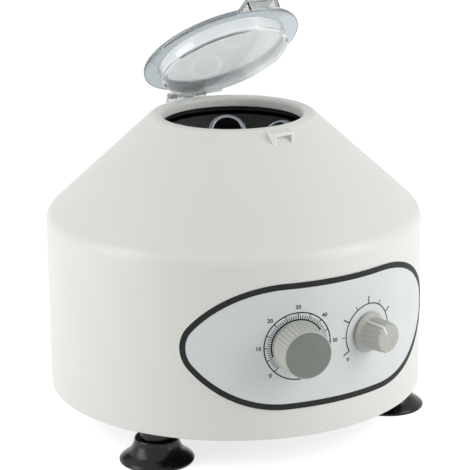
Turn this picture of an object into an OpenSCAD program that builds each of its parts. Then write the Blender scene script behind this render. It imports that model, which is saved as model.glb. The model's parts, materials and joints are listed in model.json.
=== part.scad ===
// Butterfat centrifuge: a bench instrument with a conical drum housing, a clear hinged lid and an angle rotor.
// The origin lies on the rotor's axis at floor level. +Z is up, and the control panel faces -Y.

/* [Housing] */
// Outer radius of the drum
drum_r = 135; // [130:1:145]
// Height of the drum's lower edge above the floor
drum_bottom_z = 27; // [25:0.5:32]
// Height at which the drum's wall would meet the cone, before rounding
shoulder_z = 153.6; // [150:0.2:160]
// Radius of the rounding at the shoulder
shoulder_fillet = 13; // [6:0.5:18]
// Height of the housing's crest
crest_z = 224.2; // [220:0.2:230]
// Radius at which the cone would meet the crest, before rounding
crest_r = 57.8; // [56:0.2:60]
// Radius of the rounding at the crest
crest_fillet = 4; // [2:0.5:6]
// Radius of the mouth, at the lower edge of the curled lip
mouth_r = 49; // [48:0.5:52]
// Depth of the curled lip below the crest
lip_drop = 7.5; // [5:0.5:10]
// Wall thickness of the housing
wall = 3; // [2:0.25:4]

/* [Lid] */
// Radius of the lid's flange
lid_r = 58; // [55:0.5:60]
// Thickness of the lid's flange
lid_t = 2.6; // [2:0.2:4]
// Gap between the closed lid and the crest
lid_gap = 0.4; // [0.3:0.1:1]
// Radius of the dish that hangs into the mouth
dish_r = 47.4; // [42:0.2:47.6]
// Depth of the dish below the flange
dish_drop = 10; // [6:0.5:11]
// Angle at which the lid stands open at rest
lid_open = 38.5; // [10:0.5:70]
// Distance from the rotor's axis to the hinge pin
hinge_y = 65.5; // [64:0.5:70]
// Height of the hinge pin above the floor
hinge_z = 224.4; // [223:0.2:228]
// Radius of the hinge pin
pin_r = 1.25; // [1:0.05:1.5]
// Radial running clearance round the pin
pin_clearance = 0.05; // [0.02:0.01:0.1]
// Outer radius of the hinge knuckles
knuckle_r = 2.9; // [2.6:0.1:3.2]
// Width of each hinge knuckle
knuckle_w = 5.8; // [5:0.1:7]
// Gap between neighbouring knuckles
knuckle_gap = 0.5; // [0.3:0.1:0.8]
// Reach of the latch tab beyond the flange
tab_reach = 16; // [13:0.5:18]
// Width of the latch tab
tab_w = 23; // [21.5:0.5:28]

/* [Catch] */
// Width of the catch on the cone
catch_w = 17; // [14:0.5:18]
// Distance from the rotor's axis to the catch's front face
catch_y = 68.5; // [67:0.5:70]
// Height of the catch's top face below the crest
catch_top_drop = 1.6; // [1:0.2:3]
// Height of the catch's top bar
catch_bar_h = 2.6; // [2:0.2:3.5]

/* [Control panel] */
// Height of the panel's centre above the floor
panel_z = 92.7; // [90:0.5:95]
// Height of the panel
panel_h = 89.3; // [80:0.5:92]
// Width of the panel, measured round the drum
panel_w = 220.6; // [200:0.5:230]
// Half the length of the panel's straight upper edge, round the drum
panel_flat = 37.8; // [30:0.5:45]
// Radius of the panel's upper and lower end curves
panel_curve_r = 90; // [80:1:100]
// Width of the black edge band
panel_band = 4.3; // [3:0.1:6]
// Thickness of the panel
panel_t = 1; // [0.8:0.1:1.5]

/* [Knobs] */
// Distance round the drum from the middle to the timer knob
timer_arc = 30; // [28:0.5:34]
// Distance round the drum from the middle to the speed knob
speed_arc = 26.4; // [24:0.2:30]
// Radius of the timer knob at its base
timer_base_r = 17.6; // [16:0.2:19]
// Radius of the timer knob at its face
timer_face_r = 16.6; // [15:0.2:17.4]
// Height of the timer knob
timer_knob_h = 19.5; // [16:0.5:22]
// Number of grip ribs round the timer knob
timer_ribs = 36; // [24:1:48]
// Radius of the speed knob's flange
speed_flange_r = 14.2; // [13:0.2:16]
// Radius of the speed knob's grip
speed_grip_r = 11.2; // [10:0.2:12.4]
// Height of the speed knob
speed_knob_h = 18.5; // [15:0.5:20]
// Number of flutes round the speed knob
speed_flutes = 16; // [10:1:20]
// Direction of the speed pointer at rest, clockwise from the top
speed_pointer = -30; // [-120:5:120]
// Gap between the panel and each knob
knob_gap = 0.6; // [0.4:0.1:1.2]
// Radius of the control shafts
shaft_r = 3; // [2.5:0.1:3.2]
// Radial running clearance round the control shafts
shaft_clearance = 0.06; // [0.03:0.01:0.1]

/* [Rotor] */
// Number of tube sleeves
sleeve_count = 6; // [6:1:6]
// Direction of the first sleeve at rest, from +X
rotor_turn = 5; // [0:1:59]
// Tilt of the sleeves from the vertical
sleeve_tilt = 45; // [43:0.5:46]
// Radius from the rotor's axis to the middle of a sleeve's mouth
mouth_centre_r = 38; // [36.5:0.5:38.5]
// Height of the middle of a sleeve's mouth above the floor
mouth_centre_z = 201; // [199:0.5:202]
// Clearance between the sleeves and the bowl's wall and floor
sleeve_gap = 7.5; // [7:0.5:12]
// Outer radius of a sleeve
sleeve_r = 12.4; // [11.8:0.1:12.6]
// Bore radius of a sleeve
sleeve_bore_r = 10.3; // [9.8:0.1:10.6]
// Radius of the sleeve's rim
rim_r = 14; // [13.4:0.1:14.2]
// Thickness of the sleeve's rim
rim_t = 3; // [2:0.25:4]
// Radial clearance of the sleeves in the rotor head
sleeve_clearance = 0.15; // [0.1:0.05:0.3]
// Thickness of the rotor head's funnel wall
funnel_t = 7; // [5:0.5:9]
// Wall of the rotor head outside a sleeve's seat
seat_wall = 1.8; // [1.4:0.1:2.2]
// Radius of the rotor hub
hub_r = 15; // [13:0.5:16]
// Radius of the spindle
spindle_r = 5; // [4:0.25:6]

/* [Chamber bowl] */
// Wall thickness of the bowl
bowl_t = 2; // [1.5:0.25:2.5]
// Gap between the bowl and the housing's inside
bowl_gap = 0.5; // [0.4:0.1:1.5]
// Gap between the bowl's straight wall and the drum's inside
bowl_side_gap = 9; // [6:0.5:11]
// Height of the bowl's floor above the base
bowl_floor_z = 118; // [115:0.5:120]
// Radius of the spindle hole in the bowl
bowl_hole_r = 16; // [14:0.5:18]

/* [Motor] */
// Outer radius of the motor
motor_r = 44; // [40:0.5:48]
// Height of the motor's lower end above the floor
motor_z = 42; // [40:0.5:45]
// Length of the motor can between its covers
motor_can_l = 52; // [48:0.5:56]
// Wall thickness of the motor can
motor_wall = 8; // [6:0.5:10]
// Thickness of each motor cover
motor_cover_t = 7; // [6:0.5:8]
// Outer radius of the bearings
bearing_r = 11; // [10:0.5:12]
// Width of the bearings
bearing_w = 7; // [6:0.5:7]
// Radius of the circle of rubber dampers
damper_pcd_r = 58; // [55:0.5:62]
// Height of the rubber dampers
damper_h = 14; // [12:0.5:16]

/* [Base and feet] */
// Thickness of the base plate
base_t = 3; // [2:0.25:4]
// Distance from the drum's inside to the circle of feet
foot_inset = 19; // [18:0.5:22]
// Radius of a foot's rim on the floor
foot_r = 26.2; // [24:0.2:27]
// Height of a foot's bell
foot_bell_h = 17.5; // [15:0.5:18]
// Radius of a foot's collar
foot_collar_r = 11.3; // [10:0.1:12]
// Radius of the foot bolts
foot_bolt_r = 3; // [2.5:0.1:4]
// Distance from the drum's inside to the circle of bowl posts
post_inset = 36; // [32:0.5:40]
// Radius of a bowl post
post_r = 6; // [5:0.5:7]

/* [Cord gland] */
// Height of the cord gland above the floor
gland_z = 52; // [48:1:60]
// Radius of the hole in the gland's nose, which grips the lead
gland_bore_r = 3.6; // [3:0.1:4]
// Reach of the gland behind the drum
gland_reach = 20.8; // [15:0.1:22]

/* [Hidden] */
$fn = 96;
eps = 0.01;

// The cone's slope, and places on it
cone_angle = atan2(crest_z - shoulder_z, drum_r - crest_r);
function cone_z(r) = shoulder_z + (drum_r - r) * tan(cone_angle);

// Points along an arc about c, from angle a0 to a1
function arc(c, r, a0, a1, n) = [for (i = [0:n]) c + r * [cos(a0 + (a1 - a0) * i / n), sin(a0 + (a1 - a0) * i / n)]];

// Housing profile places
shoulder_c = [drum_r - shoulder_fillet, shoulder_z - shoulder_fillet * tan((90 - cone_angle) / 2)];
crest_c = [crest_r - crest_fillet * tan(cone_angle / 2), crest_z - crest_fillet];
lip_tip_r = 1.2;
lip_c = [mouth_r + lip_tip_r, crest_z - lip_drop];
inner_drum_r = drum_r - wall;
inner_shift = wall / cos(cone_angle);
function under_cone_z(r) = cone_z(r) - inner_shift;

// Base and feet
base_z = drum_bottom_z + 1.5;
base_top_z = base_z + base_t;
base_gap = 0.4;
base_r = inner_drum_r - base_gap;
foot_angles = [-150, -30, 90];
foot_pcd_r = inner_drum_r - foot_inset;
boss_r = 6;
boss_inset = 8;
boss_pcd_r = inner_drum_r - boss_inset;
boss_h = 14;
boss_angles = [-90, 20, 160];
screw_r = 2;
screw_head_r = 3.8;
screw_head_h = 2.4;

// Bowl
bowl_r = inner_drum_r - bowl_side_gap - bowl_t;
post_pcd_r = inner_drum_r - post_inset;
bowl_top_r = mouth_r + 3;
bowl_lip_z = crest_z - lip_drop - lip_tip_r - 0.2;
bowl_corner_r = crest_r - 0.8;
bowl_shift = (wall + bowl_gap) / cos(cone_angle);
bowl_inner_shift = bowl_shift + bowl_t / cos(cone_angle);
post_angles = [-45, 75, 195];
post_h = bowl_floor_z - base_top_z;

// Motor and spindle
motor_can_z = motor_z + motor_cover_t;
motor_top_z = motor_can_z + motor_can_l;
air_gap = 0.6;
armature_r = motor_r - motor_wall - air_gap;
bracket_t = 4;
bracket_z = base_top_z + damper_h;
damper_angles = [30, 150, 270];
bracket_hole_r = motor_r + 0.3;
bracket_lug_r = 9;
commutator_r = 13;
commutator_h = 12;

// Rotor: a sleeve is as long as the bowl's wall and floor allow
sleeve_dir = [sin(sleeve_tilt), -cos(sleeve_tilt)];
sleeve_round = 6;
sleeve_floor = 2.2;
bore_round = 4;
sleeve_end = (sleeve_r - sleeve_round) * cos(sleeve_tilt) + sleeve_round;
sleeve_l = sleeve_round - sleeve_gap / cos(sleeve_tilt) + min(
    (bowl_r - mouth_centre_r - sleeve_end) / sin(sleeve_tilt),
    (mouth_centre_z - bowl_floor_z - bowl_t - sleeve_end) / cos(sleeve_tilt));
seat_r = mouth_centre_r + rim_t * sleeve_dir[0];
seat_z = mouth_centre_z + rim_t * sleeve_dir[1];
seat_depth = 2;
seat_gap = 0.05;
function funnel_z(r) = seat_z + seat_depth / cos(sleeve_tilt) + (r - seat_r) * tan(sleeve_tilt);
head_edge = rim_r + sleeve_clearance + seat_wall;
head_edge_cut = 0.8;
function head_point(s, depth) = [seat_r, seat_z] + s * [cos(sleeve_tilt), sin(sleeve_tilt)]
    + (depth - seat_depth) * sleeve_dir;
hub_bottom_z = 150;
hub_top_z = funnel_z(hub_r);
washer_t = 2;
nut_h = 8;
nut_r = 10;
rotor_angles = [for (i = [0:sleeve_count - 1]) rotor_turn + i * 360 / sleeve_count];
spindle_top_z = hub_top_z + washer_t + nut_h + 2;
thread_r = spindle_r - 1;
step_z = hub_bottom_z;

// Controls
control_seat_r = inner_drum_r - 4;
bush_proud = 1;
bush_l = drum_r - control_seat_r + bush_proud;
timer_case_w = 44;
timer_case_d = 34;
timer_tail = 20;
pot_r = 13;
pot_d = 18;
pot_tail = 12;
pointer_w = 1.5;
pointer_proud = 0.2;
timer_turn_angle = -timer_arc / drum_r * 180 / PI;
speed_turn_angle = speed_arc / drum_r * 180 / PI;
panel_out_r = drum_r + panel_t;
band_step = 0.25;
bush_r = 5;
pocket_r = bush_r + 0.25;

// Control board on the base plate
board_w = 44;
board_l = 52;
board_t = 1.6;
board_hole_inset = 4;
board_inset = 72;
board_stand_h = 8;
standoff_pin_r = 1.5;
board_corner = [inner_drum_r - board_inset, -board_w, base_top_z];

// Cord gland
gland_inside = 8;
gland_body_r = 6;
gland_body_bore_r = 4.6;
gland_hex_r = 9.5;
gland_hex_h = 4;
gland_nut_h = 4.2;

// Hinge
knuckle_pitch = knuckle_w + knuckle_gap;
lug_w = 3 * knuckle_w + 2 * knuckle_gap;
hinge_w = 5 * knuckle_w + 4 * knuckle_gap;
lid_z = crest_z + lid_gap;

// Turns what is drawn about a radial axis to its place on the drum: local +Z points out of the drum
module at_panel(turn, r, z) {
    rotate([0, 0, turn]) translate([0, -r, z]) rotate([90, 0, 0]) children();
}

// Puts copies round the axis
module around(angles, r, z) {
    for (a = angles) rotate([0, 0, a]) translate([r, 0, z]) children();
}

// A ring with square edges
module ring(r_out, r_in, h) {
    difference() {
        cylinder(h = h, r = r_out);
        translate([0, 0, -1]) cylinder(h = h + 2, r = r_in);
    }
}

// Places the axis of one sleeve: local +Z points out of its mouth
module along_sleeve(a) {
    rotate([0, 0, a]) translate([mouth_centre_r, 0, mouth_centre_z]) rotate([0, -sleeve_tilt, 0]) children();
}

// The catch: a block on the cone with a pocket under its top bar
module catch_block() {
    top_z = crest_z - catch_top_drop;
    top_r = drum_r - (top_z - shoulder_z) / tan(cone_angle);
    root = 1.5;
    cheek_w = 2.6;
    pocket_y = 4.5;
    bottom_z = cone_z(catch_y) - root;
    difference() {
        translate([-catch_w / 2, 0, 0]) rotate([90, 0, 90]) linear_extrude(catch_w)
            polygon([[-top_r + root, top_z], [-catch_y + 1, top_z], [-catch_y, top_z - 1], [-catch_y, bottom_z]]);
        translate([-catch_w / 2 + cheek_w, -catch_y - 1, bottom_z - 5])
            cube([catch_w - 2 * cheek_w, pocket_y + 1, top_z - catch_bar_h - bottom_z + 5]);
    }
}

module housing_shell() {
    color("#e6e7e2") difference() {
        union() {
            rotate_extrude($fn = 180) polygon(concat(
                [[drum_r - 0.8, drum_bottom_z], [drum_r, drum_bottom_z + 0.8]],
                arc(shoulder_c, shoulder_fillet, 0, 90 - cone_angle, 8),
                arc(crest_c, crest_fillet, 90 - cone_angle, 90, 5),
                arc([mouth_r + 5, crest_z - 3.4], 3.4, 90, 165, 4),
                arc(lip_c, lip_tip_r, 180, 325, 5),
                [[crest_r - wall * 0.4, under_cone_z(crest_r - wall * 0.4)],
                 [inner_drum_r, under_cone_z(inner_drum_r)],
                 [inner_drum_r, drum_bottom_z]]));
            catch_block();
            around(boss_angles, boss_pcd_r, base_top_z) cylinder(h = boss_h, r = boss_r, $fn = 32);
            for (a = boss_angles) rotate([0, 0, a]) translate([boss_pcd_r, -1.2, base_top_z])
                cube([inner_drum_r - boss_pcd_r + 0.5, 2.4, boss_h]);
        }
        around(boss_angles, boss_pcd_r, base_top_z - 1) cylinder(h = boss_h - 1, r = screw_r, $fn = 24);
        at_panel(timer_turn_angle, drum_r - 8, panel_z) cylinder(h = 16, r = pocket_r, $fn = 32);
        at_panel(speed_turn_angle, drum_r - 8, panel_z) cylinder(h = 16, r = pocket_r, $fn = 32);
        at_panel(180, drum_r - gland_inside, gland_z) cylinder(h = 2 * gland_inside, r = gland_body_r + 0.3, $fn = 32);
        bracket_screws(2, 1.25);
    }
}

// Panel outline round the drum, as [distance round the drum, height], first its right upper quarter
half_h = panel_h / 2;
function tip_arc(w, h, flat, R) = (pow(w - flat, 2) + pow(h, 2) - 2 * h * R) / (2 * (w - flat) - 2 * R);
function quarter(w, h, flat, R, r) = let (
        dx = w - r - flat,
        dy = R - h,
        turn = atan2(dx, dy))
    concat(arc([flat, h - R], R, 90, 90 - turn, 8), arc([w - r, 0], r, 90 - turn, 0, 8));
function mirror_points(q) = concat(
    q, [for (i = [len(q) - 2:-1:0]) [q[i][0], -q[i][1]]],
    [for (p = q) [-p[0], -p[1]]], [for (i = [len(q) - 2:-1:0]) [-q[i][0], q[i][1]]]);
function on_drum(points, r) = [for (p = points) [r * sin(p[0] / drum_r * 180 / PI), p[1]]];

module panel_outline(inset, r) {
    w = panel_w / 2 - inset;
    h = half_h - inset;
    big = panel_curve_r - inset;
    small = tip_arc(w, h, panel_flat, big);
    polygon(on_drum(mirror_points(quarter(w, h, panel_flat, big, small)), r));
}

module panel_cut(inset, r) {
    translate([0, 0, panel_z]) rotate([90, 0, 0]) linear_extrude(drum_r + 10) panel_outline(inset, r);
}

module control_panel() {
    difference() {
        union() {
            color("#d3dcde") intersection() {
                translate([0, 0, drum_bottom_z]) ring(panel_out_r - band_step, drum_r, shoulder_z - drum_bottom_z, $fn = 180);
                panel_cut(0, drum_r);
            }
            color("#222624") intersection() {
                translate([0, 0, drum_bottom_z]) ring(panel_out_r, drum_r, shoulder_z - drum_bottom_z, $fn = 180);
                difference() {
                    panel_cut(0, drum_r);
                    panel_cut(panel_band, drum_r);
                }
            }
        }
        at_panel(timer_turn_angle, drum_r - 5, panel_z) cylinder(h = 16, r = pocket_r, $fn = 32);
        at_panel(speed_turn_angle, drum_r - 5, panel_z) cylinder(h = 16, r = pocket_r, $fn = 32);
    }
}

module chamber_bowl() {
    color("#1b1c1d") difference() {
        rotate_extrude($fn = 120) polygon([
            [bowl_top_r, bowl_lip_z],
            [bowl_corner_r, cone_z(bowl_corner_r) - bowl_shift],
            [bowl_r + bowl_t, cone_z(bowl_r + bowl_t) - bowl_shift],
            [bowl_r + bowl_t, bowl_floor_z],
            [bowl_hole_r, bowl_floor_z],
            [bowl_hole_r, bowl_floor_z + bowl_t],
            [bowl_r - 2, bowl_floor_z + bowl_t],
            [bowl_r, bowl_floor_z + bowl_t + 2],
            [bowl_r, cone_z(bowl_r + bowl_t) - bowl_inner_shift + bowl_t],
            [bowl_corner_r - 0.5, cone_z(bowl_corner_r) - bowl_inner_shift],
            [bowl_top_r, bowl_lip_z - bowl_t]]);
        around(post_angles, post_pcd_r, bowl_floor_z - 1) cylinder(h = bowl_t + 2, r = screw_r + 0.2, $fn = 24);
    }
}

module bowl_seal() {
    color("#262626") translate([0, 0, bowl_floor_z + bowl_t]) rotate_extrude($fn = 64)
        polygon([[bowl_hole_r - 5, 0], [bowl_hole_r + 5, 0], [bowl_hole_r + 5, 1.6], [bowl_hole_r, 2.4],
            [bowl_hole_r - 3, 5], [bowl_hole_r - 5, 5]]);
}

module bowl_posts() {
    color("#b9bcbd") around(post_angles, post_pcd_r, base_top_z) difference() {
        cylinder(h = post_h, r = post_r, $fn = 6);
        translate([0, 0, post_h - 12]) cylinder(h = 13, r = screw_r, $fn = 24);
    }
}

module bowl_screws() {
    color("#9fa3a5") around(post_angles, post_pcd_r, bowl_floor_z + bowl_t) screw(bowl_t + 8);
}

// A pan head screw: its head stands on z = 0 and its shank hangs below
module screw(l) {
    translate([0, 0, -l]) cylinder(h = l + eps, r = screw_r - 0.05, $fn = 24);
    difference() {
        rotate_extrude($fn = 32) polygon(concat([[0, 0], [screw_head_r, 0], [screw_head_r, screw_head_h * 0.4]],
            arc([screw_head_r * 0.4, screw_head_h * 0.4], screw_head_h * 0.6, 45, 90, 3),
            [[0, screw_head_h]]));
        for (a = [0, 90]) rotate([0, 0, a]) translate([-1.9, -0.35, screw_head_h - 0.9]) cube([3.8, 0.7, 1]);
    }
}

module base_plate() {
    color("#8f9496") difference() {
        translate([0, 0, base_z]) cylinder(h = base_t, r = base_r, $fn = 120);
        around(foot_angles, foot_pcd_r, base_z - 1) cylinder(h = base_t + 2, r = foot_bolt_r + 0.3, $fn = 32);
        around(boss_angles, boss_pcd_r, base_z - 1) cylinder(h = base_t + 2, r = screw_r + 0.2, $fn = 24);
        around(damper_angles, damper_pcd_r, base_z - 1) cylinder(h = base_t + 2, r = screw_r + 0.2, $fn = 24);
        for (a = [0:30:330]) rotate([0, 0, a]) translate([18, -1.75, base_z - 1]) cube([22, 3.5, base_t + 2]);
    }
}

module base_screws() {
    color("#9fa3a5") around(boss_angles, boss_pcd_r, base_z) rotate([180, 0, 0]) screw(base_t + 10);
}

// A suction foot: a thin bell with a hollow under it and a collar that bears on the base plate
module foot(a) {
    color("#101112") rotate([0, 0, a]) translate([foot_pcd_r, 0, 0]) difference() {
        rotate_extrude($fn = 72) polygon(concat(
            [[0, 6], [8, 5.4], [16, 3.6], [foot_r - 3.2, 0], [foot_r - 0.4, 0], [foot_r, 0.5]],
            arc([foot_r - 1.2, 1.6], 1.2, 0, 60, 2),
            [[19.4, 7.2], [17.2, 10.4], [15.9, 13.4], [15.2, foot_bell_h - 1.2], [14.4, foot_bell_h - 0.3],
             [13.4, foot_bell_h], [foot_collar_r, foot_bell_h + 0.4], [foot_collar_r, base_z - 1],
             [foot_collar_r - 1, base_z], [0, base_z]]));
        translate([0, 0, base_z - 12]) cylinder(h = 13, r = foot_bolt_r + 0.05, $fn = 32);
    }
}

module foot_front_left() foot(foot_angles[0]);
module foot_front_right() foot(foot_angles[1]);
module foot_rear() foot(foot_angles[2]);

module foot_bolts() {
    color("#9fa3a5") around(foot_angles, foot_pcd_r, base_z - 12 + 0.1) cylinder(h = 12 + base_t + 7, r = foot_bolt_r, $fn = 32);
}

module foot_nuts() {
    color("#b9bcbd") around(foot_angles, foot_pcd_r, base_top_z) difference() {
        union() {
            cylinder(h = 1, r = 6.5, $fn = 48);
            cylinder(h = 6, r = 5.6, $fn = 6);
        }
        translate([0, 0, -1]) cylinder(h = 8, r = foot_bolt_r + 0.05, $fn = 32);
    }
}

module motor_can() {
    color("#5c6164") translate([0, 0, motor_can_z]) difference() {
        cylinder(h = motor_can_l, r = motor_r);
        translate([0, 0, -1]) cylinder(h = motor_can_l + 2, r = motor_r - motor_wall);
        for (a = [0:30:330]) rotate([0, 0, a]) translate([motor_r + 1, 0, -1]) cylinder(h = motor_can_l + 2, r = 2.6, $fn = 24);
    }
}

// A motor cover with its bearing seat open to z = 0
module motor_cover() {
    difference() {
        union() {
            cylinder(h = motor_cover_t, r = motor_r);
            translate([0, 0, motor_cover_t - eps]) cylinder(h = 2, r = bearing_r + 5);
        }
        translate([0, 0, -1]) cylinder(h = bearing_w + 1, r = bearing_r);
        translate([0, 0, -1]) cylinder(h = motor_cover_t + 4, r = spindle_r + 2);
        for (a = [0:60:300]) rotate([0, 0, a]) translate([29, 0, -1]) cylinder(h = motor_cover_t + 2, r = 5.5, $fn = 32);
    }
}

module motor_top_cover() {
    color("#aab0b2") translate([0, 0, motor_top_z]) motor_cover();
}

module motor_bottom_cover() {
    color("#aab0b2") translate([0, 0, motor_can_z]) mirror([0, 0, 1]) motor_cover();
}

module motor_brushes() {
    color("#3a3a3a") for (a = [0, 180]) rotate([0, 0, a])
        translate([commutator_r + 0.3, -4, motor_can_z + 2]) cube([motor_r - motor_wall - commutator_r - 0.6, 8, 8]);
}

module bearing(z) {
    color("#c4c8ca") translate([0, 0, z]) ring(bearing_r, spindle_r, bearing_w, $fn = 64);
}

module bearing_upper() bearing(motor_top_z);
module bearing_lower() bearing(motor_can_z - bearing_w);

module motor_bracket() {
    color("#7b8083") difference() {
        union() {
            translate([0, 0, bracket_z]) ring(motor_r + 6, bracket_hole_r, bracket_t);
            for (a = damper_angles) rotate([0, 0, a]) translate([motor_r + 2, -bracket_lug_r, bracket_z])
                cube([damper_pcd_r - motor_r - 2, 2 * bracket_lug_r, bracket_t]);
            around(damper_angles, damper_pcd_r, bracket_z) cylinder(h = bracket_t, r = bracket_lug_r, $fn = 48);
            translate([0, 0, bracket_z]) ring(motor_r + 3, motor_r, 14);
        }
        around(damper_angles, damper_pcd_r, bracket_z - 1) cylinder(h = bracket_t + 2, r = screw_r + 0.2, $fn = 24);
    }
}

module motor_dampers() {
    color("#1e1e1e") around(damper_angles, damper_pcd_r, base_top_z) rotate_extrude($fn = 48)
        polygon([[screw_r + 0.2, 0], [8, 0], [8, 2.5], [6.2, damper_h / 2], [8, damper_h - 2.5], [8, damper_h],
            [screw_r + 0.2, damper_h]]);
}

module damper_screws() {
    color("#9fa3a5") around(damper_angles, damper_pcd_r, bracket_z + bracket_t) screw(bracket_t + damper_h + base_t - 0.5);
}

// The body of a control behind the drum's wall, with its bush and a bore for its shaft
module control_body(r, depth, bush_l) {
    difference() {
        union() {
            translate([0, 0, -depth]) cylinder(h = depth, r = r, $fn = 64);
            cylinder(h = bush_l, r = bush_r, $fn = 32);
        }
        translate([0, 0, -depth + 4]) cylinder(h = depth + bush_l, r = shaft_r + shaft_clearance, $fn = 32);
    }
}

// Depth of the hole that a shaft takes up in a knob of height h
function socket_depth(h) = bush_proud - knob_gap + 0.6 * h;

module timer_case() {
    color("#c9c4b8") at_panel(timer_turn_angle, control_seat_r, panel_z) difference() {
        union() {
            translate([-timer_case_w / 2, -timer_case_w / 2, -timer_case_d])
                cube([timer_case_w, timer_case_w, timer_case_d]);
            cylinder(h = bush_l, r = bush_r, $fn = 32);
        }
        translate([0, 0, -timer_tail - 6]) cylinder(h = timer_tail + bush_l + 10, r = shaft_r + shaft_clearance, $fn = 32);
    }
}

module speed_pot() {
    color("#6d6a5a") at_panel(speed_turn_angle, control_seat_r, panel_z) control_body(pot_r, pot_d, bush_l);
}

// A ring nut on the bush, against the inside of the wall
module bush_nut() {
    ring(9, bush_r, 2.2, $fn = 48);
}

module timer_nut() {
    color("#c4c8ca") at_panel(timer_turn_angle, control_seat_r, panel_z) bush_nut();
}

module speed_nut() {
    color("#c4c8ca") at_panel(speed_turn_angle, control_seat_r, panel_z) bush_nut();
}

module timer_shaft() {
    color("#c4c8ca") at_panel(timer_turn_angle, control_seat_r, panel_z) translate([0, 0, -timer_tail])
        cylinder(h = timer_tail + bush_l + panel_t + timer_knob_h * 0.6, r = shaft_r, $fn = 32);
}

module speed_shaft() {
    color("#c4c8ca") at_panel(speed_turn_angle, control_seat_r, panel_z) translate([0, 0, -pot_tail])
        cylinder(h = pot_tail + bush_l + panel_t + speed_knob_h * 0.6, r = shaft_r, $fn = 32);
}

module timer_knob() {
    color("#a9aba3") at_panel(timer_turn_angle, panel_out_r + knob_gap, panel_z) difference() {
        rotate_extrude($fn = 72) polygon([[0, 0], [timer_base_r, 0], [timer_base_r, 2],
            [timer_face_r + 0.2, timer_knob_h - 1], [timer_face_r - 0.6, timer_knob_h], [0, timer_knob_h]]);
        for (i = [0:timer_ribs - 1]) rotate([0, 0, i * 360 / timer_ribs]) translate([timer_base_r + 0.35, 0, 2])
            rotate([0, -atan2(timer_base_r - timer_face_r, timer_knob_h - 2), 0])
                cylinder(h = timer_knob_h, r = 0.9, $fn = 16);
        translate([0, 0, -1]) cylinder(h = 1 + socket_depth(timer_knob_h), r = shaft_r, $fn = 32);
    }
}

module speed_knob() {
    color("#b5b3aa") at_panel(speed_turn_angle, panel_out_r + knob_gap, panel_z) rotate([0, 0, 90 - speed_pointer])
        difference() {
            union() {
                difference() {
                    rotate_extrude($fn = 64) polygon([[0, 0], [speed_flange_r, 0], [speed_flange_r, 1.4],
                        [speed_flange_r - 1.2, 3], [speed_grip_r, 3.4], [speed_grip_r - 0.6, speed_knob_h - 1],
                        [speed_grip_r - 1.4, speed_knob_h], [0, speed_knob_h]]);
                    for (i = [0:speed_flutes - 1]) rotate([0, 0, (i + 0.5) * 360 / speed_flutes])
                        translate([speed_grip_r + 0.7, 0, 4.2]) cylinder(h = speed_knob_h, r = 1.5, $fn = 20);
                }
                rotate([90, 0, 0]) translate([0, 0, -pointer_w / 2]) linear_extrude(pointer_w) polygon([
                    [speed_grip_r * 0.3, speed_knob_h - 2], [speed_grip_r - 2, 4], [speed_grip_r + pointer_proud, 3.1],
                    [speed_grip_r - 0.6 + pointer_proud, speed_knob_h - 1],
                    [speed_grip_r - 1.4, speed_knob_h + pointer_proud], [speed_grip_r * 0.3, speed_knob_h + pointer_proud]]);
            }
            translate([0, 0, -1]) cylinder(h = 1 + socket_depth(speed_knob_h), r = shaft_r, $fn = 32);
        }
}

// Puts copies at the board's four holes
module at_board_holes() {
    for (x = [board_hole_inset, board_w - board_hole_inset], y = [board_hole_inset, board_l - board_hole_inset])
        translate([x, y, 0]) children();
}

module control_board() {
    color("#2f6b45") translate(board_corner + [0, 0, board_stand_h]) difference() {
        union() {
            cube([board_w, board_l, board_t]);
            translate([board_w * 0.18, board_l * 0.15, board_t - 0.1]) cube([12, 22, 14]);
            translate([board_w * 0.6, board_l * 0.23, board_t - 0.1]) cylinder(h = 12, r = 5, $fn = 32);
            translate([board_w * 0.68, board_l * 0.65, board_t - 0.1]) cube([6, 12, 8]);
        }
        translate([0, 0, -1]) at_board_holes() cylinder(h = board_t + 2, r = standoff_pin_r + 0.1, $fn = 24);
    }
}

module board_standoffs() {
    color("#d8d8d0") translate(board_corner) at_board_holes() {
        cylinder(h = board_stand_h, r = standoff_pin_r * 2, $fn = 32);
        cylinder(h = board_stand_h + board_t + 1.4, r = standoff_pin_r, $fn = 24);
    }
}

// Holes or screws of the hinge bracket
module bracket_screws(l, r) {
    for (x = [-10, 10]) translate([x, hinge_y + 6.5, cone_z(hinge_y + 6.5)]) rotate([-cone_angle, 0, 0])
        translate([0, 0, -l]) cylinder(h = l + 0.5, r = r, $fn = 24);
}

// The fixed leaf of the hinge: it lies on the cone behind the pin and carries three knuckles
module hinge_bracket() {
    foot_y0 = hinge_y - 0.5;
    foot_y1 = hinge_y + 11;
    color("#dfe6e8") difference() {
        union() {
            for (i = [-2, 0, 2]) translate([i * knuckle_pitch - knuckle_w / 2, hinge_y, hinge_z]) rotate([90, 0, 90]) {
                cylinder(h = knuckle_w, r = knuckle_r, $fn = 48);
                linear_extrude(knuckle_w) polygon([[knuckle_r - 0.2, 0], [0, -knuckle_r + 0.2],
                    [-0.3, cone_z(hinge_y) - hinge_z - 1], [6, cone_z(hinge_y + 6) - hinge_z - 1]]);
            }
            translate([-hinge_w / 2, 0, 0]) rotate([90, 0, 90]) linear_extrude(hinge_w)
                polygon([[foot_y0, cone_z(foot_y0) - 3], [foot_y0, cone_z(foot_y0) + 0.9],
                    [foot_y1 - 0.5, cone_z(foot_y1 - 0.5) + 1.8], [foot_y1, cone_z(foot_y1) - 3]]);
        }
        rotate_extrude($fn = 180) polygon([[0, 150], [drum_r, cone_z(drum_r)], [crest_r, crest_z], [0, crest_z]]);
        translate([-hinge_w, hinge_y, hinge_z]) rotate([0, 90, 0]) cylinder(h = 2 * hinge_w, r = pin_r, $fn = 48);
    }
}

module hinge_pin() {
    color("#c4c8ca") translate([-hinge_w / 2 - 0.6, hinge_y, hinge_z]) rotate([0, 90, 0])
        cylinder(h = hinge_w + 1.2, r = pin_r, $fn = 48);
}

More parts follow.
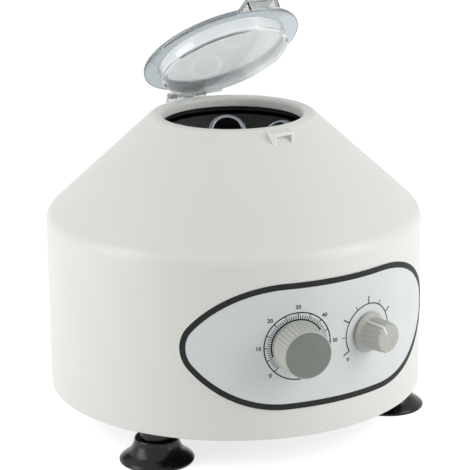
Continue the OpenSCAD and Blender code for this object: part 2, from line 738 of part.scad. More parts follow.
module cord_gland() {
    color("#161718") at_panel(180, drum_r - gland_inside, gland_z) difference() {
        union() {
            cylinder(h = gland_inside + 1, r = gland_body_r, $fn = 48);
            translate([0, 0, gland_inside]) cylinder(h = gland_hex_h, r = gland_hex_r, $fn = 6);
            translate([0, 0, gland_inside + gland_hex_h - 0.1])
                cylinder(h = gland_reach - gland_hex_h + 0.1, r1 = gland_hex_r - 1.5, r2 = gland_body_r + 0.2, $fn = 48);
        }
        translate([0, 0, -1]) cylinder(h = gland_inside + gland_reach + 2, r = gland_bore_r, $fn = 48);
        translate([0, 0, -1]) cylinder(h = gland_inside + 1 + gland_hex_h / 2, r = gland_body_bore_r, $fn = 48);
    }
}

module gland_nut() {
    color("#161718") at_panel(180, drum_r - gland_inside, gland_z) difference() {
        cylinder(h = gland_nut_h, r = gland_hex_r, $fn = 6);
        translate([0, 0, -1]) cylinder(h = gland_nut_h + 2, r = gland_body_r, $fn = 48);
    }
}

module spindle() {
    color("#c4c8ca") {
        translate([0, 0, motor_z - 1]) cylinder(h = step_z - motor_z + 1, r = spindle_r, $fn = 64);
        translate([0, 0, step_z - eps]) cylinder(h = spindle_top_z - step_z, r = thread_r, $fn = 64);
    }
}

module motor_armature() {
    color("#8a5a32") difference() {
        union() {
            translate([0, 0, motor_can_z + 18]) cylinder(h = motor_can_l - 24, r = armature_r);
            translate([0, 0, motor_can_z + 1]) cylinder(h = commutator_h + 6, r = commutator_r);
        }
        translate([0, 0, motor_can_z]) cylinder(h = motor_can_l, r = spindle_r, $fn = 64);
    }
}

module rotor_head() {
    color("#1c1d1e") difference() {
        rotate_extrude($fn = 120) polygon([
            [thread_r, hub_bottom_z], [hub_r, hub_bottom_z], [hub_r, funnel_z(hub_r) - funnel_t / cos(sleeve_tilt) - 4],
            [hub_r + 4, funnel_z(hub_r + 4) - funnel_t / cos(sleeve_tilt)],
            head_point(head_edge, funnel_t), head_point(head_edge, head_edge_cut),
            head_point(head_edge - head_edge_cut, 0), [hub_r, hub_top_z], [thread_r, hub_top_z]]);
        for (a = rotor_angles) along_sleeve(a) {
            translate([0, 0, -60]) cylinder(h = 80, r = sleeve_r + sleeve_clearance, $fn = 64);
            translate([0, 0, -rim_t - seat_gap]) cylinder(h = 40, r = rim_r + sleeve_clearance, $fn = 64);
        }
    }
}

module rotor_washer() {
    color("#c4c8ca") translate([0, 0, hub_top_z]) ring(nut_r + 2, thread_r, washer_t, $fn = 64);
}

module rotor_nut() {
    color("#b9bcbd") translate([0, 0, hub_top_z + washer_t]) difference() {
        cylinder(h = nut_h, r = nut_r, $fn = 6);
        translate([0, 0, -1]) cylinder(h = nut_h + 2, r = thread_r, $fn = 64);
    }
}

// A tube sleeve with a stepped rim and a round bottom
module sleeve(i) {
    color("#a7acb2") along_sleeve(rotor_angles[i - 1]) rotate_extrude($fn = 64) polygon(concat(
        [[sleeve_bore_r, -1], [sleeve_bore_r + 0.8, -0.2], [sleeve_bore_r + 1.6, 0], [rim_r - 0.8, 0],
         [rim_r, -0.8], [rim_r, -rim_t], [sleeve_r, -rim_t]],
        arc([sleeve_r - sleeve_round, -sleeve_l + sleeve_round], sleeve_round, 0, -90, 4),
        [[0, -sleeve_l], [0, -sleeve_l + sleeve_floor]],
        arc([sleeve_bore_r - bore_round, -sleeve_l + sleeve_floor + bore_round], bore_round, -90, 0, 4)));
}

module sleeve_1() sleeve(1);
module sleeve_2() sleeve(2);
module sleeve_3() sleeve(3);
module sleeve_4() sleeve(4);
module sleeve_5() sleeve(5);
module sleeve_6() sleeve(6);

// The lid, drawn closed: flange, dish, hinge lug and latch tab in one clear moulding
module lid_closed() {
    flange_top = lid_z + lid_t;
    wall_t = 2;
    tab_t = 2.4;
    tab_y0 = lid_r - 3;
    tab_y1 = lid_r + tab_reach;
    hook_y = catch_y + 1.2;
    difference() {
        union() {
            rotate_extrude($fn = 144) polygon([
                [0, lid_z - dish_drop], [dish_r - 2, lid_z - dish_drop], [dish_r - 0.6, lid_z - dish_drop + 0.6],
                [dish_r, lid_z - dish_drop + 2], [dish_r + 0.2, lid_z], [lid_r - 0.6, lid_z], [lid_r, lid_z + 0.6],
                [lid_r, flange_top - 0.6], [lid_r - 0.8, flange_top], [dish_r - wall_t + 0.2, flange_top],
                [dish_r - wall_t, lid_z - dish_drop + 3], [dish_r - wall_t - 1, lid_z - dish_drop + wall_t],
                [0, lid_z - dish_drop + wall_t]]);
            translate([-lug_w / 2, 0, 0]) rotate([90, 0, 90]) linear_extrude(lug_w)
                polygon([[lid_r - 6, lid_z + 0.2], [hinge_y - 1.6, lid_z + 0.2], [hinge_y, hinge_z],
                    [hinge_y + 1, hinge_z + knuckle_r - 0.4], [hinge_y, hinge_z + knuckle_r], [lid_r - 6, flange_top + 1.6]]);
            for (i = [-1, 1]) translate([i * knuckle_pitch - knuckle_w / 2, hinge_y, hinge_z]) rotate([90, 0, 90])
                cylinder(h = knuckle_w, r = knuckle_r, $fn = 48);
            translate([-tab_w / 2, 0, 0]) rotate([90, 0, 90]) linear_extrude(tab_w)
                polygon([[-tab_y0, lid_z], [-hook_y - wall_t, lid_z], [-tab_y1, lid_z + 2.2], [-tab_y1, lid_z + 3.6],
                    [-hook_y - wall_t, lid_z + tab_t + 1], [-tab_y0, lid_z + tab_t]]);
            for (x = [-tab_w / 2, tab_w / 2 - 1.8]) translate([x, 0, 0]) rotate([90, 0, 90]) linear_extrude(1.8)
                polygon([[-tab_y0 - 3.6, lid_z + 0.1], [-hook_y - wall_t, lid_z + 0.1],
                    [-hook_y - wall_t, cone_z(hook_y) + 1.6], [-hook_y, cone_z(hook_y) + 1.6]]);
            translate([-tab_w / 2, -hook_y - wall_t, cone_z(hook_y) + 1.6]) cube([tab_w, wall_t, lid_z - cone_z(hook_y) - 1.5]);
        }
        for (i = [-2, 0, 2]) translate([i * knuckle_pitch - knuckle_w / 2 - knuckle_gap, hinge_y, hinge_z]) rotate([90, 0, 90])
            cylinder(h = knuckle_w + 2 * knuckle_gap, r = knuckle_r + 0.5, $fn = 48);
        translate([-hinge_w, hinge_y, hinge_z]) rotate([0, 90, 0])
            cylinder(h = 2 * hinge_w, r = pin_r + pin_clearance, $fn = 48);
        translate([-6, -hook_y - wall_t - 1, cone_z(hook_y) + 4]) cube([12, wall_t + 2, 3.4]);
    }
}

module lid() {
    color([0.8, 0.86, 0.9, 0.4]) translate([0, hinge_y, hinge_z]) rotate([-lid_open, 0, 0])
        translate([0, -hinge_y, -hinge_z]) lid_closed();
}

housing_shell();
control_panel();
chamber_bowl();
bowl_seal();
bowl_posts();
bowl_screws();
base_plate();
base_screws();
foot_front_left();
foot_front_right();
foot_rear();
foot_bolts();
foot_nuts();
motor_can();
motor_top_cover();
motor_bottom_cover();
motor_brushes();
bearing_upper();
bearing_lower();
motor_bracket();
motor_dampers();
damper_screws();
timer_case();
timer_nut();
speed_pot();
speed_nut();
control_board();
board_standoffs();
hinge_bracket();
hinge_pin();
cord_gland();
gland_nut();
spindle();
motor_armature();
rotor_head();
rotor_washer();
rotor_nut();
sleeve_1();
sleeve_2();
sleeve_3();
sleeve_4();
sleeve_5();
sleeve_6();
lid();
timer_shaft();
timer_knob();
speed_shaft();
speed_knob();
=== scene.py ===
"""Looks of a butterfat centrifuge: a bench drum with a clear hinged lid, an angle rotor and two dial knobs.

Each sub-assembly is a class that holds its sizes in millimetres, builds its meshes and dresses them.
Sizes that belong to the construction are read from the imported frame.
"""
from __future__ import annotations

import json
import logging
import math
from dataclasses import dataclass, field
from enum import Enum
from typing import Callable, Iterable, Sequence

import bmesh
import bpy
from bpy.types import ID, Material, Mesh, Node, NodeSocket, NodeTree, Object, World
from mathutils import Matrix, Vector

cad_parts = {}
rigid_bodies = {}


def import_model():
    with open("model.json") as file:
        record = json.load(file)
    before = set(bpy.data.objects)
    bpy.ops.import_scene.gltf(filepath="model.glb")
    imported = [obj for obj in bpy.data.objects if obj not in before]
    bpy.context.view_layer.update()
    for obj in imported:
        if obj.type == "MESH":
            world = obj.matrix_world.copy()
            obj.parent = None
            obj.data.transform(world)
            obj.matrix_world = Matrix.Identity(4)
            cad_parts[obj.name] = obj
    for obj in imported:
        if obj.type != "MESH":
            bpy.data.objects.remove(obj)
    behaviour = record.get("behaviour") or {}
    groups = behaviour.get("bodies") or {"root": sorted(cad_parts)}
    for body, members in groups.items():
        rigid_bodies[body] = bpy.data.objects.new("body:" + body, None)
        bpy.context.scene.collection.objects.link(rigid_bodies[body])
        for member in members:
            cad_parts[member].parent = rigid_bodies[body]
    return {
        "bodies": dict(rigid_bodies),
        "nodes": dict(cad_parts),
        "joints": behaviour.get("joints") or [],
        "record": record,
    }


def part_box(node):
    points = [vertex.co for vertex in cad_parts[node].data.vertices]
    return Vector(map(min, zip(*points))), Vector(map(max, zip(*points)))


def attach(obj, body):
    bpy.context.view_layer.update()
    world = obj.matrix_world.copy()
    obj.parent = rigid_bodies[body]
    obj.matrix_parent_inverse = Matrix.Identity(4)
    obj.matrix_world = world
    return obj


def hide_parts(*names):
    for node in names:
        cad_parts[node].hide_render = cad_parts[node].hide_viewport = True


LOG = logging.getLogger("centrifuge")
MM = 0.001
DRUM_R = 135.0
WHITE = (1, 1, 1, 1)
# How much of an edge the rounding of one corner may take
EDGE_SHARE = 0.49
# Noise values between which a patch of colour and a dull spot fade in
PATCH_FADE = (0.35, 0.7)
WEAR_FADE = (0.3, 0.7)
# Stretch that turns noise into the fine rings of a lathe
TURNED_STRETCH = (0.15, 0.15, 1.0)

Point2 = tuple[float, float]
Corner = tuple[float, float, float]


# Colour and nodes


def linear(hex_colour: str) -> tuple[float, float, float, float]:
    """Turns an sRGB hex colour into the linear colour that shaders take.

    Args:
        hex_colour: Six hex digits, such as "e6e7e2".

    Returns:
        Red, green, blue and full opacity.
    """
    values = [int(hex_colour[i:i + 2], 16) / 255 for i in (0, 2, 4)]
    red, green, blue = (v / 12.92 if v <= 0.04045 else ((v + 0.055) / 1.055) ** 2.4 for v in values)
    return red, green, blue, 1.0


def add_node(tree: NodeTree, kind: str, settings: dict | None = None, links: dict | None = None) -> Node:
    """Adds one node with its settings and incoming links.

    Args:
        tree: Node tree to add to.
        kind: Blender's node type name, without the ShaderNode prefix.
        settings: Attribute names, input names or input numbers, and their values.
        links: Input names or numbers, and the output sockets that feed them.

    Returns:
        The new node.
    """
    made = tree.nodes.new("ShaderNode" + kind)
    for key, value in (settings or {}).items():
        if isinstance(key, str) and hasattr(made, key):
            setattr(made, key, value)
        else:
            made.inputs[key].default_value = value
    for key, socket in (links or {}).items():
        tree.links.new(socket, made.inputs[key])
    return made


def bare_tree(owner: Material | World) -> NodeTree:
    """Switches on the nodes of a material or world and empties its tree."""
    owner.use_nodes = True
    owner.node_tree.nodes.clear()
    return owner.node_tree


class Grain(Enum):
    """How the fine relief of a surface was made."""

    MOULDED = "moulded"
    SPARK = "spark eroded"
    TURNED = "turned"
    ROLLED = "rolled"
    WOUND = "wound"


@dataclass(frozen=True)
class Surface:
    """A material of the real world.

    Attributes:
        name: The material's common name and how its surface was made.
        colour: Main sRGB colour, or the tint of what shines through.
        roughness: Roughness of the polished spots.
    """

    name: str
    colour: str
    roughness: float

    def build(self) -> Material:
        """Makes the material, or returns it if it was made before."""
        made = bpy.data.materials.get(self.name)
        if not made:
            made = bpy.data.materials.new(self.name)
            tree = bare_tree(made)
            shader = self.shader(tree, add_node(tree, "TexCoord").outputs["Object"])
            add_node(tree, "OutputMaterial", {}, {"Surface": shader.outputs["BSDF"]})
        return made

    def shader(self, tree: NodeTree, place: NodeSocket) -> Node:
        """Adds the shader and what feeds it.

        Args:
            tree: The material's node tree.
            place: Socket with the place on the piece.

        Returns:
            The shader.
        """
        raise NotImplementedError


@dataclass(frozen=True)
class Finish(Surface):
    """A solid surface: what it is made of and what that gives the eye.

    Attributes:
        shade: Second sRGB colour, which drifts through the main one.
        roughness_span: How much rougher the dull spots are.
        metallic: 1 for a metal, otherwise 0.
        ior: Index of refraction; metals keep the default.
        coat: Weight of a clear gloss layer.
        coat_roughness: Roughness of that layer.
        grain: How the fine relief was made.
        grain_mm: Size of one bump of the relief.
        relief_mm: Height of the relief.
        drift_mm: Size of the patches in which the colour drifts.
        drift: How far the colour drifts towards the second one.
        wear_share: Size of the dull spots as a share of the colour's patches.
    """

    shade: str = ""
    roughness_span: float = 0.1
    metallic: float = 0.0
    ior: float = 1.5
    coat: float = 0.0
    coat_roughness: float = 0.08
    grain: Grain = Grain.MOULDED
    grain_mm: float = 0.8
    relief_mm: float = 0.01
    drift_mm: float = 10.0
    drift: float = 0.5
    wear_share: float = 0.13

    def shader(self, tree: NodeTree, place: NodeSocket) -> Node:
        """Adds an opaque shader with drifting colour, uneven gloss and fine relief; see Surface.shader."""
        patches = add_node(tree, "TexNoise", {"Scale": 1 / (self.drift_mm * MM), "Detail": 3.0},
                           {"Vector": place})
        amount = add_node(tree, "MapRange", {"From Min": PATCH_FADE[0], "From Max": PATCH_FADE[1],
                                             "To Max": self.drift}, {"Value": patches.outputs["Fac"]})
        colour = add_node(tree, "Mix", {"data_type": "RGBA", 6: linear(self.colour), 7: linear(self.shade)},
                          {0: amount.outputs["Result"]})
        wear = add_node(tree, "TexNoise", {"Scale": 1 / (self.drift_mm * MM * self.wear_share), "Detail": 4.0},
                        {"Vector": place})
        rough = add_node(tree, "MapRange", {"From Min": WEAR_FADE[0], "From Max": WEAR_FADE[1],
                                            "To Min": self.roughness,
                                            "To Max": self.roughness + self.roughness_span},
                         {"Value": wear.outputs["Fac"]})
        bump = add_node(tree, "Bump", {"Strength": 1.0, "Distance": self.relief_mm * MM},
                        {"Height": self.relief(tree, place)})
        return add_node(tree, "BsdfPrincipled", {"Metallic": self.metallic, "IOR": self.ior,
                                                 "Coat Weight": self.coat,
                                                 "Coat Roughness": self.coat_roughness},
                        {"Base Color": colour.outputs[2], "Roughness": rough.outputs["Result"],
                         "Normal": bump.outputs["Normal"]})

    def relief(self, tree: NodeTree, place: NodeSocket) -> NodeSocket:
        """Adds the pattern of the fine relief that the making left.

        Args:
            tree: The material's node tree.
            place: Socket with the place on the piece.

        Returns:
            The socket with the relief's height.
        """
        scale = 1 / (self.grain_mm * MM)
        if self.grain is Grain.WOUND:
            return add_node(tree, "TexWave", {"Scale": scale / 6.0, "bands_direction": "Z"},
                            {"Vector": place}).outputs["Fac"]
        if self.grain is Grain.SPARK:
            return add_node(tree, "TexVoronoi", {"Scale": scale}, {"Vector": place}).outputs["Distance"]
        if self.grain is Grain.TURNED:
            place = add_node(tree, "Mapping", {"Scale": TURNED_STRETCH}, {"Vector": place}).outputs["Vector"]
        return add_node(tree, "TexNoise", {"Scale": scale, "Detail": 2.0}, {"Vector": place}).outputs["Fac"]


@dataclass(frozen=True)
class ClearFinish(Surface):
    """A clear moulded plastic.

    Attributes:
        clarity: Share of the light that passes; the rest is scattered milky white.
        ior: Index of refraction.
        haze_span: How much hazier the dull spots are.
        ripple_mm: Size of the faint flow ripples of the moulding.
        relief_mm: Height of the ripples.
    """

    clarity: float = 1.0
    ior: float = 1.49
    haze_span: float = 0.04
    ripple_mm: float = 22.0
    relief_mm: float = 0.05

    def shader(self, tree: NodeTree, place: NodeSocket) -> Node:
        """Adds a clear shader with faint flow ripples; see Surface.shader."""
        ripples = add_node(tree, "TexNoise", {"Scale": 1 / (self.ripple_mm * MM), "Detail": 1.0},
                           {"Vector": place})
        haze = add_node(tree, "MapRange", {"To Min": self.roughness, "To Max": self.roughness + self.haze_span},
                        {"Value": ripples.outputs["Fac"]})
        bump = add_node(tree, "Bump", {"Strength": 1.0, "Distance": self.relief_mm * MM},
                        {"Height": ripples.outputs["Fac"]})
        return add_node(tree, "BsdfPrincipled", {"Base Color": linear(self.colour), "IOR": self.ior,
                                                 "Transmission Weight": self.clarity},
                        {"Roughness": haze.outputs["Result"], "Normal": bump.outputs["Normal"]})


# White ABS, gloss moulded: a soft broad highlight, warm in the shade, with a faint orange peel
HOUSING_ABS = Finish("white_abs_gloss_moulded", "ecede7", 0.36, "e8e9e2", 0.06, ior=1.52, coat=0.05,
                     grain_mm=2.2, relief_mm=0.006, drift_mm=90.0)
# Polyester overlay, screen printed: cool pale grey with a dull satin face
PANEL_FILM = Finish("polyester_overlay_printed", "e2e8e8", 0.38, "dbe1e2", 0.05, grain=Grain.SPARK,
                    relief_mm=0.004, drift_mm=40.0)
# Screen ink: near black and slightly glossy where it lies thick. Besides the print, it paints the dark shadow
# arc that the timer knob's base throws on the panel
SHADOW_AND_PRINT_INK = Finish("screen_ink_printed", "0f1110", 0.5, "181b1a", ior=1.35, grain_mm=0.6, relief_mm=0.004,
             drift_mm=8.0)
# White enamel, filled into the pointer's groove: a clean bright line
POINTER_PAINT = Finish("white_enamel_filled", "f2f2ee", 0.45, "e8e8e2", 0.08, grain_mm=0.5, drift_mm=6.0)
# Grey ABS, spark eroded mould: even, dull and slightly green
TIMER_FACE_ABS = Finish("grey_abs_spark_moulded", "7f877f", 0.5, "767e76", 0.08, grain=Grain.SPARK, grain_mm=0.5,
                        drift_mm=14.0)
# Light grey ABS, moulded: the ribbed skirt keeps soft lines of light on its ribs
TIMER_SKIRT_ABS = Finish("light_grey_abs_moulded", "c3c5bd", 0.42, "b5b7af", 0.08, grain_mm=0.7, drift_mm=12.0)
# Warm grey ABS, moulded: soft lights on the flutes and a pale flange
SPEED_ABS = Finish("warm_grey_abs_moulded", "c0c0ba", 0.4, "b2b2ac", grain_mm=0.7, drift_mm=12.0)
# Black ABS, spark eroded: the chamber swallows light and shows only its edges
CHAMBER_ABS = Finish("black_abs_moulded", "0d0d0c", 0.42, "131312", 0.12, ior=1.42, grain=Grain.SPARK,
                     grain_mm=1.0, relief_mm=0.02, drift_mm=30.0)
# Nitrile rubber, polished mould: deep black with sharp small highlights
FOOT_RUBBER = Finish("nitrile_rubber_polished", "070708", 0.16, "0f0f10", 0.14, ior=1.4, grain_mm=3.0,
                     relief_mm=0.02, drift_mm=18.0)
# Soft rubber, moulded: dull black
SOFT_RUBBER = Finish("soft_rubber_moulded", "1a1a1a", 0.7, "242424", ior=1.52)
# Aluminium, turned and anodised: grey rings with fine lines round the mouth
SLEEVE_ALUMINIUM = Finish("anodised_aluminium_turned", "a9aeb4", 0.26, "989da4", metallic=1.0,
                          grain=Grain.TURNED, grain_mm=0.5, relief_mm=0.006, drift_mm=12.0)
# Steel, zinc plated: bright, with cool grey clouds in the plating
ZINC_STEEL = Finish("zinc_plated_steel", "b4b7ba", 0.28, "9fa2a3", 0.14, metallic=1.0, grain=Grain.ROLLED,
                    grain_mm=0.4, relief_mm=0.004, drift_mm=6.0)
# Sheet steel, powder coated: a dull grey with a fine pebble
POWDER_COAT = Finish("powder_coated_steel", "6d7173", 0.55, "62666a", grain=Grain.SPARK, grain_mm=0.7,
                     relief_mm=0.03, drift_mm=40.0)
# Aluminium, die cast: a matt metal grey with a sandy skin
CAST_ALUMINIUM = Finish("die_cast_aluminium", "a3a6a8", 0.45, "94979a", 0.15, metallic=1.0,
                        relief_mm=0.02)
# Copper wire, wound and varnished: glossy brown rows
WOUND_COPPER = Finish("varnished_copper_wound", "8e4f26", 0.35, "6e3a1c", grain=Grain.WOUND, relief_mm=0.1,
                      drift_mm=8.0)
# Carbon, pressed: flat dark grey
PRESSED_CARBON = Finish("pressed_carbon", "242424", 0.6, "2e2e2e", grain_mm=0.4, drift_mm=5.0)
# Phenolic, moulded: the brown body of a timer or potentiometer
PHENOLIC = Finish("phenolic_moulded", "8f8a7c", 0.5, "7f7a6d", drift_mm=14.0)
# Glass epoxy board with solder mask: green and lightly glossy over the weave
SOLDER_MASK = Finish("glass_epoxy_solder_mask", "2c6a43", 0.3, "235637", grain=Grain.SPARK, grain_mm=0.9)
# Natural nylon, moulded: waxy off-white
NYLON = Finish("natural_nylon_moulded", "dcdad0", 0.45, "cfccc0", drift_mm=8.0)
# Black nylon, moulded: satin black
BLACK_NYLON = Finish("black_nylon_moulded", "191a1b", 0.42, "222324", 0.12, drift_mm=8.0)
# Polystyrene, injection moulded: the thin dish is clear with a pale grey veil
CLEAR_POLYSTYRENE = ClearFinish("clear_polystyrene_moulded", "e3e6e6", 0.06, 0.92)
# The same moulding on the dish walls, tinted darker grey: painted shade for the grey veil the walls show when
# seen along them
WALL_SHADE_POLYSTYRENE = ClearFinish("clear_polystyrene_wall", "d9dedf", 0.03, 0.92)
# The same moulding on the flange, with a deeper blue grey tint: partly the plastic's own tint, partly painted
# shade for the grey the rim shows where it pipes light sideways
RIM_TINT_AND_SHADE_POLYSTYRENE = ClearFinish("clear_polystyrene_rim", "c6cfd5", 0.05, 0.86)
# The same moulding with an eroded texture on the gripping and bearing parts: milky
MILKY_POLYSTYRENE = ClearFinish("clear_polystyrene_textured", "f8faf9", 0.25, 0.8)


# Meshes


def in_scene(name: str, data: ID) -> Object:
    """Puts data of any kind in the scene as an object of that name."""
    made = bpy.data.objects.new(name, data)
    bpy.context.scene.collection.objects.link(made)
    return made


def smooth(mesh: Mesh, sharp_deg: float = 32.0) -> None:
    """Shades a mesh smoothly, apart from edges sharper than an angle."""
    mesh.polygons.foreach_set("use_smooth", [True] * len(mesh.polygons))
    mesh.set_sharp_from_angle(angle=math.radians(sharp_deg))


def as_object(name: str, mesh: Mesh, finish: Surface | None = None) -> Object:
    """Puts a mesh in the scene with smooth shading that breaks at sharp edges.

    Args:
        name: Name of the piece.
        mesh: The mesh, in metres.
        finish: Finish of its surface.

    Returns:
        The new object.
    """
    mesh.name = name
    smooth(mesh)
    if finish:
        mesh.materials.append(finish.build())
    return in_scene(name, mesh)


def sewn(points: Iterable[Sequence[float]], faces: Iterable[Sequence[int]]) -> Mesh:
    """Sews a mesh from its points.

    Args:
        points: The points, in metres.
        faces: The numbers of each face's points.

    Returns:
        The mesh, with its faces looking outward.
    """
    mesh = bpy.data.meshes.new("sewn")
    made = bmesh.new()
    verts = [made.verts.new(point) for point in points]
    for face in faces:
        made.faces.new([verts[i] for i in face])
    bmesh.ops.recalc_face_normals(made, faces=made.faces)
    made.to_mesh(mesh)
    made.free()
    return mesh


def round_corners(corners: Sequence[Corner], steps: int = 6) -> list[Point2]:
    """Rounds the corners of a closed outline.

    Args:
        corners: Each corner's two coordinates and its rounding radius.
        steps: Pieces in each rounding.

    Returns:
        The points of the rounded outline.
    """
    out: list[Point2] = []
    for i, (x, y, radius) in enumerate(corners):
        if radius <= 0:
            out.append((x, y))
            continue
        here = Vector((x, y))
        before = Vector(corners[i - 1][:2]) - here
        after = Vector(corners[(i + 1) % len(corners)][:2]) - here
        before_dir, after_dir = before.normalized(), after.normalized()
        half = before_dir.angle(after_dir) / 2
        reach = min(radius / math.tan(half), before.length * EDGE_SHARE, after.length * EDGE_SHARE)
        true_radius = reach * math.tan(half)
        centre = here + (before_dir + after_dir).normalized() * (true_radius / math.sin(half))
        start = here + before_dir * reach - centre
        sweep = start.angle_signed(here + after_dir * reach - centre)
        for k in range(steps + 1):
            turn = -sweep * k / steps
            c, s = math.cos(turn), math.sin(turn)
            point = centre + Vector((start.x * c - start.y * s, start.x * s + start.y * c))
            out.append((point.x, point.y))
    return out


def lathe_mesh(profile: Sequence[Point2], segments: int = 128,
               shape: Callable[[float, float, float], float] | None = None) -> Mesh:
    """Turns a closed profile about the Z axis.

    Args:
        profile: Radius and height of each point, in millimetres, all the way round the section.
        segments: Pieces round the axis.
        shape: Gives the radius from the radius, the height and the angle, for ribs and flutes.

    Returns:
        The mesh, in metres.
    """
    points: list[Corner] = []
    rows: list[range] = []
    for radius, height in profile:
        count = segments if radius >= 1e-6 else 1
        rows.append(range(len(points), len(points) + count))
        for k in range(count):
            angle = 2 * math.pi * k / segments
            r = shape(radius, height, angle) if shape else radius
            points.append((r * math.cos(angle) * MM, r * math.sin(angle) * MM, height * MM))
    faces = []
    for low, high in zip(rows, rows[1:] + rows[:1]):
        for k in range(segments):
            n = (k + 1) % segments
            ring = (low[k % len(low)], low[n % len(low)], high[n % len(high)], high[k % len(high)])
            unique = list(dict.fromkeys(ring))
            if len(unique) >= 3:
                faces.append(unique)
    return sewn(points, faces)


def prism_mesh(outline: Sequence[Point2], low: float, high: float) -> Mesh:
    """Pulls an outline in Y and Z along X.

    Args:
        outline: Points in millimetres, all the way round.
        low: First X.
        high: Last X.

    Returns:
        The mesh, in metres.
    """
    count = len(outline)
    sides = [((i + 1) % count, i, count + i, count + (i + 1) % count) for i in range(count)]
    return sewn([(x * MM, y * MM, z * MM) for x in (low, high) for y, z in outline],
                [range(count), range(2 * count - 1, count - 1, -1), *sides])


def combine(piece: Object, others: Iterable[Mesh], operation: str) -> None:
    """Adds meshes to a piece, or cuts them out of it.

    Args:
        piece: The piece that is changed.
        others: Meshes in metres, in the piece's own space.
        operation: UNION or DIFFERENCE.
    """
    for mesh in others:
        tool = in_scene("tool", mesh)
        cut = piece.modifiers.new("cut", "BOOLEAN")
        cut.operation = operation
        cut.solver = "EXACT"
        cut.object = tool
        apply_modifiers(piece)
        bpy.data.objects.remove(tool)


def apply_modifiers(piece: Object) -> None:
    """Turns a piece's modifiers into its mesh."""
    graph = bpy.context.evaluated_depsgraph_get()
    old = piece.data
    fresh = bpy.data.meshes.new_from_object(piece.evaluated_get(graph), depsgraph=graph)
    piece.modifiers.clear()
    piece.data = fresh
    fresh.name = piece.name
    bpy.data.meshes.remove(old)


def soften(piece: Object, width: float, segments: int = 3, over_deg: float = 30.0) -> None:
    """Rounds a piece's sharp edges.

    Args:
        piece: The piece.
        width: Width of the rounding in millimetres.
        segments: Pieces in the rounding.
        over_deg: Edges flatter than this stay.
    """
    bevel = piece.modifiers.new("bevel", "BEVEL")
    bevel.width = width * MM
    bevel.segments = segments
    bevel.limit_method = "ANGLE"
    bevel.angle_limit = math.radians(over_deg)
    bevel.use_clamp_overlap = True
    apply_modifiers(piece)
    smooth(piece.data, 40.0)


def joined(name: str, meshes: Iterable[Mesh], finish: Surface) -> Object:
    """Joins meshes into one piece.

    Args:
        name: The piece's name.
        meshes: Its meshes.
        finish: Its finish.

    Returns:
        The piece.
    """
    made = bmesh.new()
    for mesh in meshes:
        made.from_mesh(mesh)
        bpy.data.meshes.remove(mesh)
    whole = bpy.data.meshes.new(name)
    made.to_mesh(whole)
    made.free()
    return as_object(name, whole, finish)


def direction(azimuth_deg: float, elevation_deg: float) -> Vector:
    """Gives the direction in which a camera or lamp stands.

    Args:
        azimuth_deg: Angle from -Y towards +X.
        elevation_deg: Angle above the floor.

    Returns:
        The direction from the object, one unit long.
    """
    a, e = math.radians(azimuth_deg), math.radians(elevation_deg)
    return Vector((math.sin(a) * math.cos(e), -math.cos(a) * math.cos(e), math.sin(e)))


@dataclass
class Frame:
    """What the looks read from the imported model."""

    data: dict

    def joint(self, name: str) -> dict:
        """Returns the joint of that name."""
        return next(j for j in self.data["joints"] if j["name"] == name)

    def dress(self, finish: Surface, *names: str) -> None:
        """Gives construction pieces a finish.

        Args:
            finish: The finish.
            names: The pieces' names.
        """
        for name in names:
            mesh = self.data["nodes"][name].data
            mesh.materials.clear()
            mesh.materials.append(finish.build())
            LOG.info("dressed %s in %s", name, finish.name)


def settle(piece: Object, body: str, slot: str, *stands_for: str) -> None:
    """Hangs a finished piece on its body and hides the construction pieces that it replaces.

    Args:
        piece: The piece.
        body: The body it rides on.
        slot: Not used.
        stands_for: Construction pieces that it replaces.
    """
    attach(piece, body)
    if stands_for:
        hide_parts(*stands_for)
    LOG.info("made %s on %s", piece.name, body)


# Sub-assemblies


